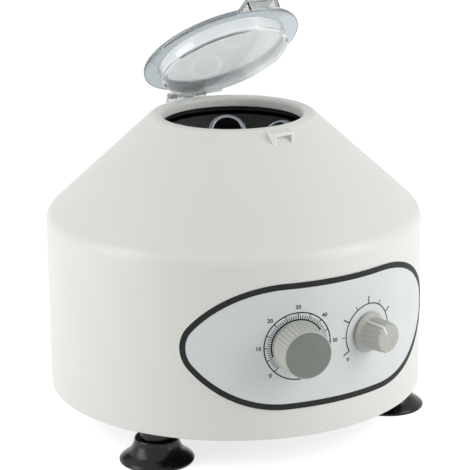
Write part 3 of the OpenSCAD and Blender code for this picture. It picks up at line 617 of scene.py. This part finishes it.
@dataclass
class Housing:
    """The white drum with its cone, curled lip and catch."""

    shoulder_z: float = 153.6
    shoulder_round: float = 13.0
    crest_r: float = 57.8
    crest_z: float = 224.2
    mouth_r: float = 50.0
    bead_drop: float = 0.9
    lip_drop: float = 7.9
    lip_round: float = 9.0
    lip_edge: float = 2.6
    wall: float = 3.0
    catch_w: float = 17.0
    catch_y: float = 68.5
    catch_drop: float = 1.6
    catch_bar: float = 2.6
    cheek: float = 2.6
    pocket: float = 4.5
    segments: int = 256
    bottom_z: float = field(init=False)
    slope: float = field(init=False)

    def __post_init__(self) -> None:
        """Reads the lower edge and works out the cone's slope."""
        self.bottom_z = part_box("housing_shell")[0].z / MM
        self.slope = (self.crest_z - self.shoulder_z) / (DRUM_R - self.crest_r)

    def cone_z(self, radius: float) -> float:
        """Returns the cone's height at a radius."""
        return self.shoulder_z + (DRUM_R - radius) * self.slope

    def build(self) -> None:
        """Makes the drum and its catch."""
        inside = self.wall * math.hypot(1, self.slope)
        inner_r = DRUM_R - self.wall
        lip_z = self.crest_z - self.lip_drop
        profile = round_corners([
            (inner_r, self.bottom_z, 0.8), (DRUM_R, self.bottom_z, 1.0),
            (DRUM_R, self.shoulder_z, self.shoulder_round),
            (self.crest_r + 1, self.cone_z(self.crest_r + 1), 3.0),
            (self.crest_r - 1.6, self.crest_z - 0.1, 1.5), (self.crest_r - 3.0, self.crest_z - 0.25, 1.5),
            (self.mouth_r, self.crest_z - self.bead_drop, self.lip_round), (self.mouth_r, lip_z, 1.1),
            (self.mouth_r + self.lip_edge, lip_z, 0.8),
            (self.crest_r - 1.2, self.cone_z(self.crest_r - 1.2) - inside, 1.0),
            (inner_r, self.cone_z(inner_r) - inside, 10.0)], 8)
        drum = as_object("housing_drum", lathe_mesh(profile, self.segments), HOUSING_ABS)
        settle(drum, "housing", "housing_white", "housing_shell")
        settle(self.catch(), "housing", "housing_white")

    def catch(self) -> Object:
        """Makes the catch with its pocket."""
        top_z = self.crest_z - self.catch_drop
        top_r = DRUM_R - (top_z - self.shoulder_z) / self.slope
        low_z = self.cone_z(self.catch_y) - 1.5
        front, half = -self.catch_y, self.catch_w / 2
        block = as_object("lid_catch", prism_mesh(
            [(-top_r + 1.5, top_z), (front + 1, top_z), (front, top_z - 1), (front, low_z)], -half, half),
            HOUSING_ABS)
        ceiling, back, below = top_z - self.catch_bar, front + self.pocket, low_z - 5
        room = prism_mesh([(front - 1, below), (back, below), (back, ceiling), (front - 1, ceiling)],
                          -half + self.cheek, half - self.cheek)
        combine(block, [room], "DIFFERENCE")
        soften(block, 0.45)
        return block


@dataclass
class DrumWrap:
    """Lays flat artwork round the drum."""

    radius: float
    centre_z: float

    def point(self, across: float, up: float, height: float) -> Vector:
        """Gives the place of a point of flat artwork.

        Args:
            across: Distance round the drum from the middle of the panel, in millimetres.
            up: Distance above the panel's centre.
            height: Height above the drum's face.

        Returns:
            The place in metres.
        """
        angle = across / self.radius
        r = self.radius + height
        return Vector((r * math.sin(angle), -r * math.cos(angle), self.centre_z + up)) * MM

    def band(self, inner: Sequence[Point2], outer: Sequence[Point2], low: float, high: float,
             closed: bool = False) -> Mesh:
        """Makes a thin solid strip between two lines of artwork.

        Args:
            inner: Points of one side.
            outer: Points of the other side, as many.
            low: Height of the strip's underside above the drum.
            high: Height of its face.
            closed: Whether the strip runs all the way round.

        Returns:
            The mesh, in metres.
        """
        count = len(inner)
        points = [self.point(*p, h) for line, h in ((inner, low), (outer, low), (outer, high), (inner, high))
                  for p in line]
        starts = [0, count, 2 * count, 3 * count]
        faces = [[a + i, a + (i + 1) % count, b + (i + 1) % count, b + i]
                 for i in range(count if closed else count - 1)
                 for a, b in zip(starts, starts[1:] + starts[:1])]
        if not closed:
            faces += [starts, [start + count - 1 for start in reversed(starts)]]
        return sewn(points, faces)


@dataclass
class Dial:
    """One printed dial: rings, ticks and numbers.

    Attributes:
        wrap: How artwork lies on the drum.
        across: Distance of its centre round the drum from the middle of the panel.
        height: Height of the print above the drum.
        thickness: How far the ink stands up.
        sunk: How far the ink reaches into the panel.
        bold: How much thicker than the font the digits are.
    """

    wrap: DrumWrap
    across: float
    height: float
    thickness: float = 0.07
    sunk: float = 0.03
    bold: float = 0.09

    def polar(self, radius: float, clock: float) -> Point2:
        """Returns artwork coordinates at a radius and a clock angle in degrees."""
        turn = math.radians(clock)
        return self.across + radius * math.sin(turn), radius * math.cos(turn)

    def stroke(self, first: Sequence[Point2], second: Sequence[Point2]) -> Mesh:
        """Makes a line of ink between two lines of artwork."""
        return self.wrap.band(first, second, self.height - self.sunk, self.height + self.thickness)

    def ring(self, radius: float, width: float, start: float, end: float) -> Mesh:
        """Makes an arc.

        Args:
            radius: Middle radius.
            width: Line width.
            start: First clock angle.
            end: Last clock angle.

        Returns:
            The mesh.
        """
        steps = max(12, int(abs(end - start) / 3))
        angles = [start + (end - start) * i / steps for i in range(steps + 1)]
        return self.stroke([self.polar(radius - width / 2, a) for a in angles],
                           [self.polar(radius + width / 2, a) for a in angles])

    def tick(self, clock: float, inner: float, outer: float, width: float) -> Mesh:
        """Makes one radial tick.

        Args:
            clock: Clock angle.
            inner: Inner radius.
            outer: Outer radius.
            width: Line width.

        Returns:
            The mesh.
        """
        turn = math.radians(clock)
        ends = self.polar(inner, clock), self.polar(outer, clock)
        dx, dy = math.cos(turn) * width / 2, math.sin(turn) * width / 2
        return self.stroke([(x - dx, y + dy) for x, y in ends], [(x + dx, y - dy) for x, y in ends])

    def number(self, text: str, radius: float, clock: float, size: float) -> Mesh:
        """Prints a number centred on a point of the dial.

        Args:
            text: The digits.
            radius: Distance from the dial's centre.
            clock: Clock angle.
            size: Font size in millimetres.

        Returns:
            The mesh.
        """
        curve = bpy.data.curves.new("number", "FONT")
        curve.body = text
        curve.size = size
        curve.align_x = "CENTER"
        curve.align_y = "CENTER"
        curve.extrude = self.thickness / 2
        curve.offset = self.bold
        holder = in_scene("number", curve)
        graph = bpy.context.evaluated_depsgraph_get()
        mesh = bpy.data.meshes.new_from_object(holder.evaluated_get(graph), depsgraph=graph)
        bpy.data.objects.remove(holder)
        middle = self.polar(radius, clock)
        for vert in mesh.vertices:
            x, y, z = vert.co
            vert.co = self.wrap.point(middle[0] + x, middle[1] + y, self.height + self.thickness / 2 + z)
        return mesh


@dataclass
class Panel:
    """The wrap-around control panel and its print.

    Lines of print are given as radius, width, first and last clock angle; ticks as inner radius, outer radius
    and width; numbers as radius and font size. The second timer line is painted shadow, not print: a dark arc
    where the timer knob's base throws shade on the panel.
    """

    centre_z: float = 92.7
    width: float = 220.6
    height: float = 89.3
    flat: float = 37.8
    curve_r: float = 90.0
    band: float = 4.3
    border_inset: float = 0.12
    border_sunk: float = 0.4
    border_proud: float = 0.12
    thickness: float = 1.0
    film_gap: float = 0.02
    rings: int = 24
    timer_across: float = -30.0
    # The second line is painted shadow: a dark arc where the timer knob's base shades the panel
    timer_lines: tuple = ((23.5, 0.85, -180, 180), (18.5, 1.0, -110, 60))
    timer_zero: float = -135.0
    minute_deg: float = 4.5
    minutes: int = 55
    five_tick: Corner = (19.0, 23.4, 0.6)
    minute_tick: Corner = (18.8, 21.6, 0.5)
    timer_number: Point2 = (27.3, 3.9)
    speed_across: float = 26.4
    speed_line: tuple = (20.0, 0.8, -120, 120)
    speed_step_deg: float = 30.0
    long_tick: Corner = (19.8, 25.4, 0.85)
    short_tick: Corner = (19.8, 23.6, 0.5)
    speed_number: Point2 = (24.5, 3.6)
    speed_number_clock: float = -131.0

    def outline(self, inset: float) -> list[Point2]:
        """Gives the panel's outline, or one inside it.

        Args:
            inset: Distance inside the true outline.

        Returns:
            Artwork points, all the way round.
        """
        w, h = self.width / 2 - inset, self.height / 2 - inset
        big = self.curve_r - inset
        side = w - self.flat
        tip = (side * side + h * h - 2 * h * big) / (2 * (side - big))
        turn = math.atan2(w - tip - self.flat, big - h)
        quarter: list[Point2] = [(self.flat * i / 8, h) for i in range(8)]
        for a in (turn * i / 40 for i in range(41)):
            quarter.append((self.flat + big * math.sin(a), h - big + big * math.cos(a)))
        for a in (turn + (math.pi / 2 - turn) * i / 20 for i in range(1, 21)):
            quarter.append((w - tip + tip * math.sin(a), tip * math.cos(a)))
        right = quarter + [(x, -y) for x, y in reversed(quarter[:-1])]
        return right + [(-x, y) for x, y in reversed(right[1:-1])]

    def plate(self, wrap: DrumWrap) -> Mesh:
        """Makes the curved plate as a solid grid inside the outline.

        Args:
            wrap: How artwork lies on the drum.

        Returns:
            The mesh.
        """
        edge = self.outline(0.0)
        count = len(edge)
        middle = self.rings * count
        shrinks = [1 - k / self.rings for k in range(self.rings)]
        points, faces = [], []
        for height in (self.film_gap, self.thickness):
            base = len(points)
            points += [wrap.point(x * shrink, y * shrink, height) for shrink in shrinks for x, y in edge]
            points.append(wrap.point(0, 0, height))
            for row in range(base, base + middle - count, count):
                faces += [(row + i, row + (i + 1) % count, row + count + (i + 1) % count, row + count + i)
                          for i in range(count)]
            last = base + middle - count
            faces += [(last + i, last + (i + 1) % count, base + middle) for i in range(count)]
        top = middle + 1
        faces += [(i, (i + 1) % count, top + (i + 1) % count, top + i) for i in range(count)]
        return sewn(points, faces)

    def build(self) -> None:
        """Makes the plate, its border, both dials and the painted shadow arc beside the timer knob."""
        wrap, top = DrumWrap(DRUM_R, self.centre_z), self.thickness
        settle(as_object("panel_plate", self.plate(wrap), PANEL_FILM), "housing", "panel_face", "control_panel")
        border = wrap.band(self.outline(self.band), self.outline(self.border_inset), top - self.border_sunk,
                           top + self.border_proud, True)
        timer, speed = Dial(wrap, self.timer_across, top), Dial(wrap, self.speed_across, top)
        # The timer's marks include the painted shadow arc, drawn in the same ink
        for name, prints_and_shadow in (("panel_border", [border]), ("timer_dial_print", self.timer_print(timer)),
                             ("speed_dial_print", self.speed_print(speed))):
            settle(joined(name, prints_and_shadow, SHADOW_AND_PRINT_INK), "housing", "panel_face")

    def timer_print(self, dial: Dial) -> list[Mesh]:
        """Makes the timer dial's ring, minute ticks and tens, and the painted shadow arc of the knob's base."""
        prints_and_shadow = [dial.ring(*line) for line in self.timer_lines]
        prints_and_shadow += [dial.tick(self.timer_zero + self.minute_deg * minute,
                             *(self.minute_tick if minute % 5 else self.five_tick))
                   for minute in range(self.minutes + 1)]
        radius, size = self.timer_number
        return prints_and_shadow + [dial.number(str(ten), radius, self.timer_zero + self.minute_deg * ten, size)
                         for ten in range(0, self.minutes, 10)]

    def speed_print(self, dial: Dial) -> list[Mesh]:
        """Makes the speed dial's arc, its long and short ticks and its zero."""
        first, last = self.speed_line[2:]
        steps = round((last - first) / self.speed_step_deg)
        ticks = [dial.tick(first + self.speed_step_deg * step,
                           *(self.short_tick if step % 2 else self.long_tick)) for step in range(steps + 1)]
        radius, size = self.speed_number
        return [dial.ring(*self.speed_line), *ticks, dial.number("0", radius, self.speed_number_clock, size)]


@dataclass
class Knobs:
    """The timer knob and the speed knob, each on its own shaft."""

    frame: Frame
    seat_r: float = DRUM_R + 1.6
    underside: float = 0.2
    timer_h: float = 19.5
    timer_base_r: float = 17.6
    timer_face_r: float = 16.6
    timer_ribs: int = 36
    rib_depth: float = 0.8
    speed_h: float = 18.5
    flange_r: float = 14.2
    grip_r: float = 11.2
    flutes: int = 18
    flute_depth: float = 0.75
    pointer_clock: float = -30.0
    pointer_half: float = 0.75

    def seat(self, mesh: Mesh, joint: str) -> Mesh:
        """Moves a mesh so that it sits on the panel and its Z axis points out of the drum.

        Args:
            mesh: The mesh, changed in place.
            joint: Name of the knob's joint.

        Returns:
            The same mesh.
        """
        data = self.frame.joint(joint)
        z = -Vector(data["axis"]).normalized()
        x = Vector((0, 0, 1)).cross(z).normalized()
        base = Vector((z.x, z.y, 0)) * self.seat_r * MM
        base.z = data["pos_m"][2]
        mesh.transform(Matrix.Translation(base) @ Matrix((x, z.cross(x), z)).transposed().to_4x4())
        return mesh

    def build(self) -> None:
        """Makes both knobs."""
        self.timer()
        self.speed()

    def timer(self) -> None:
        """Makes the ribbed timer knob with its dark face."""
        base_r, face_r, top, under = self.timer_base_r, self.timer_face_r, self.timer_h, self.underside

        def ribbed(radius: float, height: float, angle: float) -> float:
            """Cuts fine grip ribs into the skirt."""
            if radius < face_r - 0.9 or height < 1.2 or height > top - 0.9:
                return radius
            wave = 0.5 + 0.5 * math.cos(self.timer_ribs * angle)
            return radius - self.rib_depth * wave ** 4

        skirt = [(0, under), (base_r - 2.5, under), (base_r - 0.4, under), (base_r, 0.6), (base_r, 1.1),
                 (base_r - 0.05, 1.5)]
        skirt += [(base_r + (face_r + 0.2 - base_r) * i / 10, 1.5 + (top - 2.5) * i / 10) for i in range(1, 11)]
        skirt += [(face_r - 0.1, top - 0.6), (face_r - 0.5, top - 0.25), (face_r - 1.0, top - 0.2),
                  (0, top - 0.2)]
        mesh = self.seat(lathe_mesh(skirt, self.timer_ribs * 8, ribbed), "timer_turn")
        settle(as_object("timer_skirt", mesh, TIMER_SKIRT_ABS), "timer", "timer_knob_grey", "timer_knob")
        inlay_r = face_r - 0.75
        face = round_corners([(0, top - 0.5, 0), (inlay_r, top - 0.5, 0), (inlay_r, top, 0.25), (0, top, 0)], 4)
        mesh = self.seat(lathe_mesh(face), "timer_turn")
        settle(as_object("timer_face", mesh, TIMER_FACE_ABS), "timer", "timer_knob_grey")

    def speed(self) -> None:
        """Makes the fluted speed knob with its flange and white pointer."""
        top, grip, rim, under = self.speed_h, self.grip_r, self.flange_r, self.underside
        offset = math.radians(90 - self.pointer_clock)

        def fluted(radius: float, height: float, angle: float) -> float:
            """Cuts round flutes into the grip."""
            if radius < grip - 1.6 or height < 3.6 or height > top + 1:
                return radius
            wave = 0.5 - 0.5 * math.cos(self.flutes * (angle - offset))
            fade = min(1.0, (height - 3.6) / 1.2)
            return radius - self.flute_depth * wave ** 1.6 * fade

        body = [(0, under), (rim - 0.4, under), (rim, 0.6), (rim, 1.2), (rim - 0.35, 1.8), (rim - 1.4, 2.6),
                (grip + 0.5, 3.1), (grip + 0.05, 3.7)]
        body += [(grip - 0.6 * i / 9, 3.7 + (top - 4.9) * i / 9) for i in range(1, 10)]
        body += [(grip - 0.75, top - 0.7), (grip - 1.1, top - 0.25), (grip - 1.7, top), (0, top)]
        mesh = self.seat(lathe_mesh(body, self.flutes * 16, fluted), "speed_turn")
        settle(as_object("speed_grip", mesh, SPEED_ABS), "speed", "speed_knob_grey", "speed_knob")
        self.pointer()

    def pointer(self) -> None:
        """Makes the raised white pointer that runs up the grip and over its face."""
        top, grip = self.speed_h, self.grip_r
        outline = [(grip + 0.15, 3.4), (grip - 0.35, top - 0.9), (grip - 1.0, top + 0.18), (3.2, top + 0.18),
                   (3.2, top - 0.3), (grip - 2.0, top - 0.3), (grip - 1.6, 3.4)]
        mesh = prism_mesh(outline, -self.pointer_half, self.pointer_half)
        mesh.transform(Matrix.Rotation(math.radians(-self.pointer_clock), 4, "Z"))
        piece = as_object("speed_pointer", self.seat(mesh, "speed_turn"), POINTER_PAINT)
        soften(piece, 0.18, 2)
        settle(piece, "speed", "speed_knob_grey")


@dataclass
class Feet:
    """Three black suction feet under the drum."""

    rim_r: float = 26.2
    bell_h: float = 17.5
    collar_r: float = 11.3
    names: tuple[str, ...] = ("foot_front_left", "foot_front_right", "foot_rear")

    def build(self) -> None:
        """Makes one turned bell for each foot."""
        for name in self.names:
            low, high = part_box(name)
            top = high.z / MM
            centre = (low + high) / 2
            profile = round_corners([
                (0, 6, 0), (8, 5.4, 4), (17, 3.2, 6), (self.rim_r - 3.2, 0, 0.4), (self.rim_r - 0.2, 0, 0.5),
                (self.rim_r, 1.5, 0.6), (self.rim_r - 1.6, 3.0, 1.5), (18.9, 7.2, 12), (16.0, 12.6, 14),
                (15.3, self.bell_h, 2.2), (self.collar_r, self.bell_h, 0.5), (self.collar_r, top, 0.6),
                (0, top, 0)])
            mesh = lathe_mesh(profile, 96)
            mesh.transform(Matrix.Translation((centre.x, centre.y, 0)))
            settle(as_object(name + "_bell", mesh, FOOT_RUBBER), "housing", "rubber_black", name)


class Zone(Enum):
    """Parts of the lid's one moulding that look different, each with its finish. The wall finish is a darker
    tint that paints shade; the flange finish is a deeper tint, partly the plastic's own and partly painted
    shade.
    """

    FLOOR = CLEAR_POLYSTYRENE
    FLANGE = RIM_TINT_AND_SHADE_POLYSTYRENE
    TEXTURED = MILKY_POLYSTYRENE
    WALL = WALL_SHADE_POLYSTYRENE


@dataclass
class Lid:
    """The clear lid: flange, dish, hinge lug and latch tab, drawn closed and then swung open."""

    frame: Frame
    housing: Housing
    flange_r: float = 58.0
    flange_t: float = 2.6
    gap: float = 0.4
    dish_r: float = 47.4
    dish_drop: float = 10.0
    skin: float = 2.0
    hole_r: float = 1.3
    knuckle_r: float = 2.9
    knuckle_w: float = 5.8
    knuckle_gap: float = 0.5
    room: float = 0.5
    tab_w: float = 23.0
    tab_t: float = 2.4
    hook_gap: float = 1.2
    hook_drop: float = 6.5
    gusset_t: float = 1.8
    pin: Vector = field(init=False)
    low: float = field(init=False)
    top: float = field(init=False)

    def __post_init__(self) -> None:
        """Reads where the pin lies and works out the heights of the closed flange."""
        self.pin = Vector(self.frame.joint("lid_hinge")["pos_m"]) / MM
        self.low = self.housing.crest_z + self.gap
        self.top = self.low + self.flange_t

    def opened(self) -> Matrix:
        """Returns the turn from closed to the rest pose."""
        joint = self.frame.joint("lid_hinge")
        pin = Vector(joint["pos_m"])
        turn = Matrix.Rotation(math.radians(-min(joint["range_deg"])), 4, Vector(joint["axis"]))
        return Matrix.Translation(pin) @ turn @ Matrix.Translation(-pin)

    def disc(self) -> Mesh:
        """Turns the flange and dish."""
        low, top, dish, skin = self.low, self.top, self.dish_r, self.skin
        floor = low - self.dish_drop
        profile = round_corners([
            (0, floor, 0), (dish, floor, 2.2), (dish + 0.1, low, 0.8), (self.flange_r, low, 0.5),
            (self.flange_r, top, 1.0), (dish - skin + 0.2, top, 0.8), (dish - skin, floor + skin, 1.6),
            (0, floor + skin, 0)])
        return lathe_mesh(profile, 192)

    def rod(self, middle: float, length: float, radius: float, segments: int = 40) -> Mesh:
        """Makes a rod along the hinge pin's axis.

        Args:
            middle: X of the rod's middle.
            length: Length.
            radius: Radius.
            segments: Pieces round the rod.

        Returns:
            The mesh.
        """
        start, end = (Vector((middle + side * length / 2, self.pin.y, self.pin.z)) for side in (-1, 1))
        along = end - start
        mesh = lathe_mesh([(0, 0), (radius, 0), (radius, along.length), (0, along.length)], segments)
        mesh.transform(Matrix.Translation(start * MM) @ along.to_track_quat("Z", "Y").to_matrix().to_4x4())
        return mesh

    def hinge(self) -> list[Mesh]:
        """Makes the hinge lug and its two knuckles."""
        pin, pitch = self.pin, self.knuckle_w + self.knuckle_gap
        start, half = self.flange_r - 6, (3 * self.knuckle_w + 2 * self.knuckle_gap) / 2
        lug = prism_mesh(round_corners([
            (start, self.low + 0.2, 0), (pin.y - 1.6, self.low + 0.2, 0.5), (pin.y, pin.z, 0),
            (pin.y + 1, pin.z + self.knuckle_r - 0.4, 0.4), (pin.y - 0.4, pin.z + self.knuckle_r, 0.6),
            (start, self.top + 1.6, 0.5)], 3), -half, half)
        return [lug, *(self.rod(i * pitch, self.knuckle_w, self.knuckle_r) for i in (-1, 1))]

    def latch(self) -> list[Mesh]:
        """Makes the latch tab: a plate, a gusset at each side and the hooked front wall."""
        start, hook = 3 - self.flange_r, -self.housing.catch_y - self.hook_gap
        front, half, low, hook_z = hook - self.skin, self.tab_w / 2, self.low, self.low - self.hook_drop
        plate = prism_mesh(round_corners([
            (start, low, 0), (front, low, 0), (front, low + self.tab_t + 0.8, 0.6),
            (start, low + self.tab_t, 0)], 3), -half, half)
        gussets = [prism_mesh([(start - 3.6, low + 0.1), (front, low + 0.1), (front, hook_z), (hook, hook_z)],
                              x, x + self.gusset_t) for x in (-half, half - self.gusset_t)]
        wall = prism_mesh([(front, hook_z), (hook, hook_z), (hook, low + 0.1), (front, low + 0.1)], -half, half)
        return [plate, *gussets, wall]

    def zone(self, place: Vector) -> Zone:
        """Tells which part a face of the closed lid belongs to.

        Args:
            place: The face's middle, in millimetres.

        Returns:
            The part.
        """
        reach = math.hypot(place.x, place.y)
        # The dish walls and the floor's edge take the wall finish, whose darker tint is painted shade
        if reach < self.dish_r + 0.3:
            return Zone.FLOOR if reach < self.dish_r - 3.0 else Zone.WALL
        half, past = self.tab_w / 2, reach > self.flange_r + 0.05
        tab = place.y < 0 and abs(place.x) < half + 0.1 and (past or place.z < self.low - 0.05)
        lug = place.y > 0 and abs(place.x) < half and (past or place.z > self.top + 0.05)
        # The rest of the flange takes the deeper blue grey tint, partly the plastic's own and partly painted
        # shade
        return Zone.TEXTURED if tab or lug else Zone.FLANGE

    def build(self) -> None:
        """Makes the lid as one clear moulding."""
        lid = as_object("lid_moulding", self.disc())
        combine(lid, [*self.hinge(), *self.latch()], "UNION")
        pitch = self.knuckle_w + self.knuckle_gap
        rooms = [self.rod(i * pitch, self.knuckle_w + 2 * self.knuckle_gap, self.knuckle_r + self.room)
                 for i in (-2, 0, 2)]
        combine(lid, [*rooms, self.rod(0, 60, self.hole_r, 32)], "DIFFERENCE")
        soften(lid, 0.25, 2, 40.0)
        # Each zone takes its finish; the wall and flange finishes carry painted shade as darker tints
        zones = list(Zone)
        lid.data.materials.clear()
        for zone in zones:
            lid.data.materials.append(zone.value.build())
        for face in lid.data.polygons:
            face.material_index = zones.index(self.zone(face.center / MM))
        lid.data.transform(self.opened())
        settle(lid, "lid", "clear_plastic", "lid")


@dataclass
class Sleeves:
    """Six aluminium tube sleeves in the rotor head."""

    length: float = 95.0
    floor_t: float = 2.2
    outer_r: float = 12.4
    bore_r: float = 10.3
    rim_r: float = 14.3
    rim_t: float = 3.0
    rim_rise: float = 2.0
    mouth_r: float = 38.0
    mouth_z: float = 201.0
    tilt_deg: float = 45.0
    first_deg: float = 5.0
    count: int = 6

    def build(self) -> None:
        """Makes the sleeves, each with a stepped double rim."""
        bottom, bore = -self.length, self.bore_r
        profile = round_corners([
            (0, bottom, 0), (self.outer_r, bottom, 6), (self.outer_r, -self.rim_t, 0.2),
            (self.rim_r, -self.rim_t, 0.3), (self.rim_r, 0.2, 1.2), (bore + 2.2, 0.2, 0.5),
            (bore + 1.9, self.rim_rise, 0.6), (bore, self.rim_rise, 0.6),
            (bore, bottom + self.floor_t, 4), (0, bottom + self.floor_t, 0)], 5)
        for i in range(self.count):
            mesh = lathe_mesh(profile, 96)
            mesh.transform(Matrix.Rotation(math.radians(self.first_deg + 360 / self.count * i), 4, "Z")
                           @ Matrix.Translation((self.mouth_r * MM, 0, self.mouth_z * MM))
                           @ Matrix.Rotation(math.radians(-self.tilt_deg), 4, "Y"))
            name = f"sleeve_{i + 1}"
            settle(as_object(name + "_tube", mesh, SLEEVE_ALUMINIUM), "rotor", "sleeve_alloy", name)


@dataclass
class Inside:
    """The construction's own pieces that keep their shape and get their real finish."""

    frame: Frame

    def build(self) -> None:
        """Dresses the chamber, the rotor, the motor, the base and the hidden parts."""
        dress = self.frame.dress
        dress(CHAMBER_ABS, "chamber_bowl", "rotor_head")
        dress(SOFT_RUBBER, "motor_dampers", "bowl_seal")
        dress(ZINC_STEEL, "bowl_posts", "bowl_screws", "base_screws", "foot_bolts", "foot_nuts", "damper_screws",
              "spindle", "rotor_washer", "rotor_nut", "timer_nut", "speed_nut", "hinge_pin", "bearing_upper",
              "bearing_lower", "timer_shaft", "speed_shaft")
        dress(POWDER_COAT, "base_plate", "motor_can", "motor_bracket")
        dress(CAST_ALUMINIUM, "motor_top_cover", "motor_bottom_cover")
        dress(PRESSED_CARBON, "motor_brushes")
        dress(WOUND_COPPER, "motor_armature")
        dress(PHENOLIC, "timer_case", "speed_pot")
        dress(SOLDER_MASK, "control_board")
        dress(NYLON, "board_standoffs")
        dress(BLACK_NYLON, "cord_gland", "gland_nut")
        dress(MILKY_POLYSTYRENE, "hinge_bracket")


# Scene


@dataclass
class Studio:
    """Camera, lamps, world and floor.

    The camera's distances are in millimetres, and those of the lamps and the floor in metres.
    """

    azimuth_deg: float = -30.9
    elevation_deg: float = 16.42
    roll_deg: float = -0.58
    distance: float = 1459.4
    aim_z: float = 132.46
    aim_right: float = 0.85
    focal_px: float = 2014.43
    frame_px: float = 470.0
    sensor: float = 36.0
    world_level: float = 0.36
    floor_half: float = 6.0
    floor_grey: float = 0.9
    floor_glow: float = 0.72
    lamp_spread_deg: float = 71.0
    lamp_elevation_deg: float = 24.0
    lamp_distance: float = 1.3
    lamp_aim_z: float = 0.13
    lamp_size: Point2 = (0.7, 1.1)
    left_power: float = 7.7
    right_power: float = 7.7 * 1.08

    def camera(self) -> None:
        """Stands the camera where the photograph was taken."""
        back = direction(self.azimuth_deg, self.elevation_deg)
        right = direction(self.azimuth_deg + 90, 0)
        aim = Vector((0, 0, self.aim_z)) + right * self.aim_right
        data = bpy.data.cameras.new("camera")
        data.sensor_width = self.sensor
        data.lens = self.focal_px / self.frame_px * self.sensor
        data.clip_end = 50
        made = in_scene("camera", data)
        turn = Matrix((right, back.cross(right), back)).transposed().to_4x4()
        made.matrix_world = (Matrix.Translation((aim + back * self.distance) * MM) @ turn
                             @ Matrix.Rotation(math.radians(self.roll_deg), 4, "Z"))
        bpy.context.scene.camera = made

    def lamp(self, name: str, azimuth: float, power: float) -> None:
        """Hangs one soft area lamp aimed at the drum.

        Args:
            name: The lamp's name.
            azimuth: Direction in degrees, from -Y towards +X.
            power: Power in watts.
        """
        back = direction(azimuth, self.lamp_elevation_deg)
        data = bpy.data.lights.new(name, "AREA")
        data.shape = "RECTANGLE"
        data.size, data.size_y = self.lamp_size
        data.energy = power
        aim = Vector((0, 0, self.lamp_aim_z))
        in_scene(name, data).matrix_world = (Matrix.Translation(aim + back * self.lamp_distance)
                                             @ back.to_track_quat("Z", "Y").to_matrix().to_4x4())

    def seen(self, tree: NodeTree) -> NodeSocket:
        """Tells what looks at the backdrop.

        Args:
            tree: Node tree of the backdrop's material.

        Returns:
            A socket that is 1 for the camera, for gloss and for clear plastic, and 0 for the light it gives.
        """
        path = add_node(tree, "LightPath").outputs
        clear = add_node(tree, "Math", {"operation": "MAXIMUM"},
                         {0: path["Is Camera Ray"], 1: path["Is Transmission Ray"]})
        return add_node(tree, "Math", {"operation": "MAXIMUM"},
                        {0: clear.outputs[0], 1: path["Is Glossy Ray"]}).outputs[0]

    def world(self) -> None:
        """Makes a white surround that the camera, glass and gloss see, and a dimmer one that lights."""
        made = bpy.data.worlds.new("studio")
        bpy.context.scene.world = made
        tree = bare_tree(made)
        level = add_node(tree, "MapRange", {"To Min": self.world_level}, {"Value": self.seen(tree)})
        light = add_node(tree, "Background", {"Color": WHITE}, {"Strength": level.outputs["Result"]})
        add_node(tree, "OutputWorld", {}, {"Surface": light.outputs["Background"]})

    def floor(self) -> None:
        """Lays a white floor that keeps the object's shadow."""
        half, grey = self.floor_half, self.floor_grey
        mesh = sewn([(-half, -half, 0), (half, -half, 0), (half, half, 0), (-half, half, 0)], [(0, 1, 2, 3)])
        paper = bpy.data.materials.new("white_paper_sweep")
        tree = bare_tree(paper)
        glow = add_node(tree, "Math", {"operation": "MULTIPLY", 1: self.floor_glow}, {0: self.seen(tree)})
        light = add_node(tree, "Emission", {"Color": WHITE}, {"Strength": glow.outputs[0]})
        matt = add_node(tree, "BsdfDiffuse", {"Color": (grey, grey, grey, 1)})
        both = add_node(tree, "AddShader", {}, {0: matt.outputs[0], 1: light.outputs[0]})
        add_node(tree, "OutputMaterial", {}, {"Surface": both.outputs[0]})
        mesh.materials.append(paper)
        in_scene("floor", mesh)

    def build(self) -> None:
        """Sets up the whole studio."""
        self.camera()
        self.world()
        self.floor()
        self.lamp("left_softbox", self.azimuth_deg - self.lamp_spread_deg, self.left_power)
        self.lamp("right_softbox", self.azimuth_deg + self.lamp_spread_deg, self.right_power)
        bpy.context.scene.view_settings.view_transform = "Standard"


def main() -> None:
    """Builds the studio and every sub-assembly in order."""
    logging.basicConfig(level=logging.INFO, format="%(name)s: %(message)s")
    frame = Frame(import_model())
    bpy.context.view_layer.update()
    Studio().build()
    housing = Housing()
    for part in (housing, Panel(), Knobs(frame), Feet(), Lid(frame, housing), Sleeves(), Inside(frame)):
        part.build()


if __name__ == "__main__":
    main()
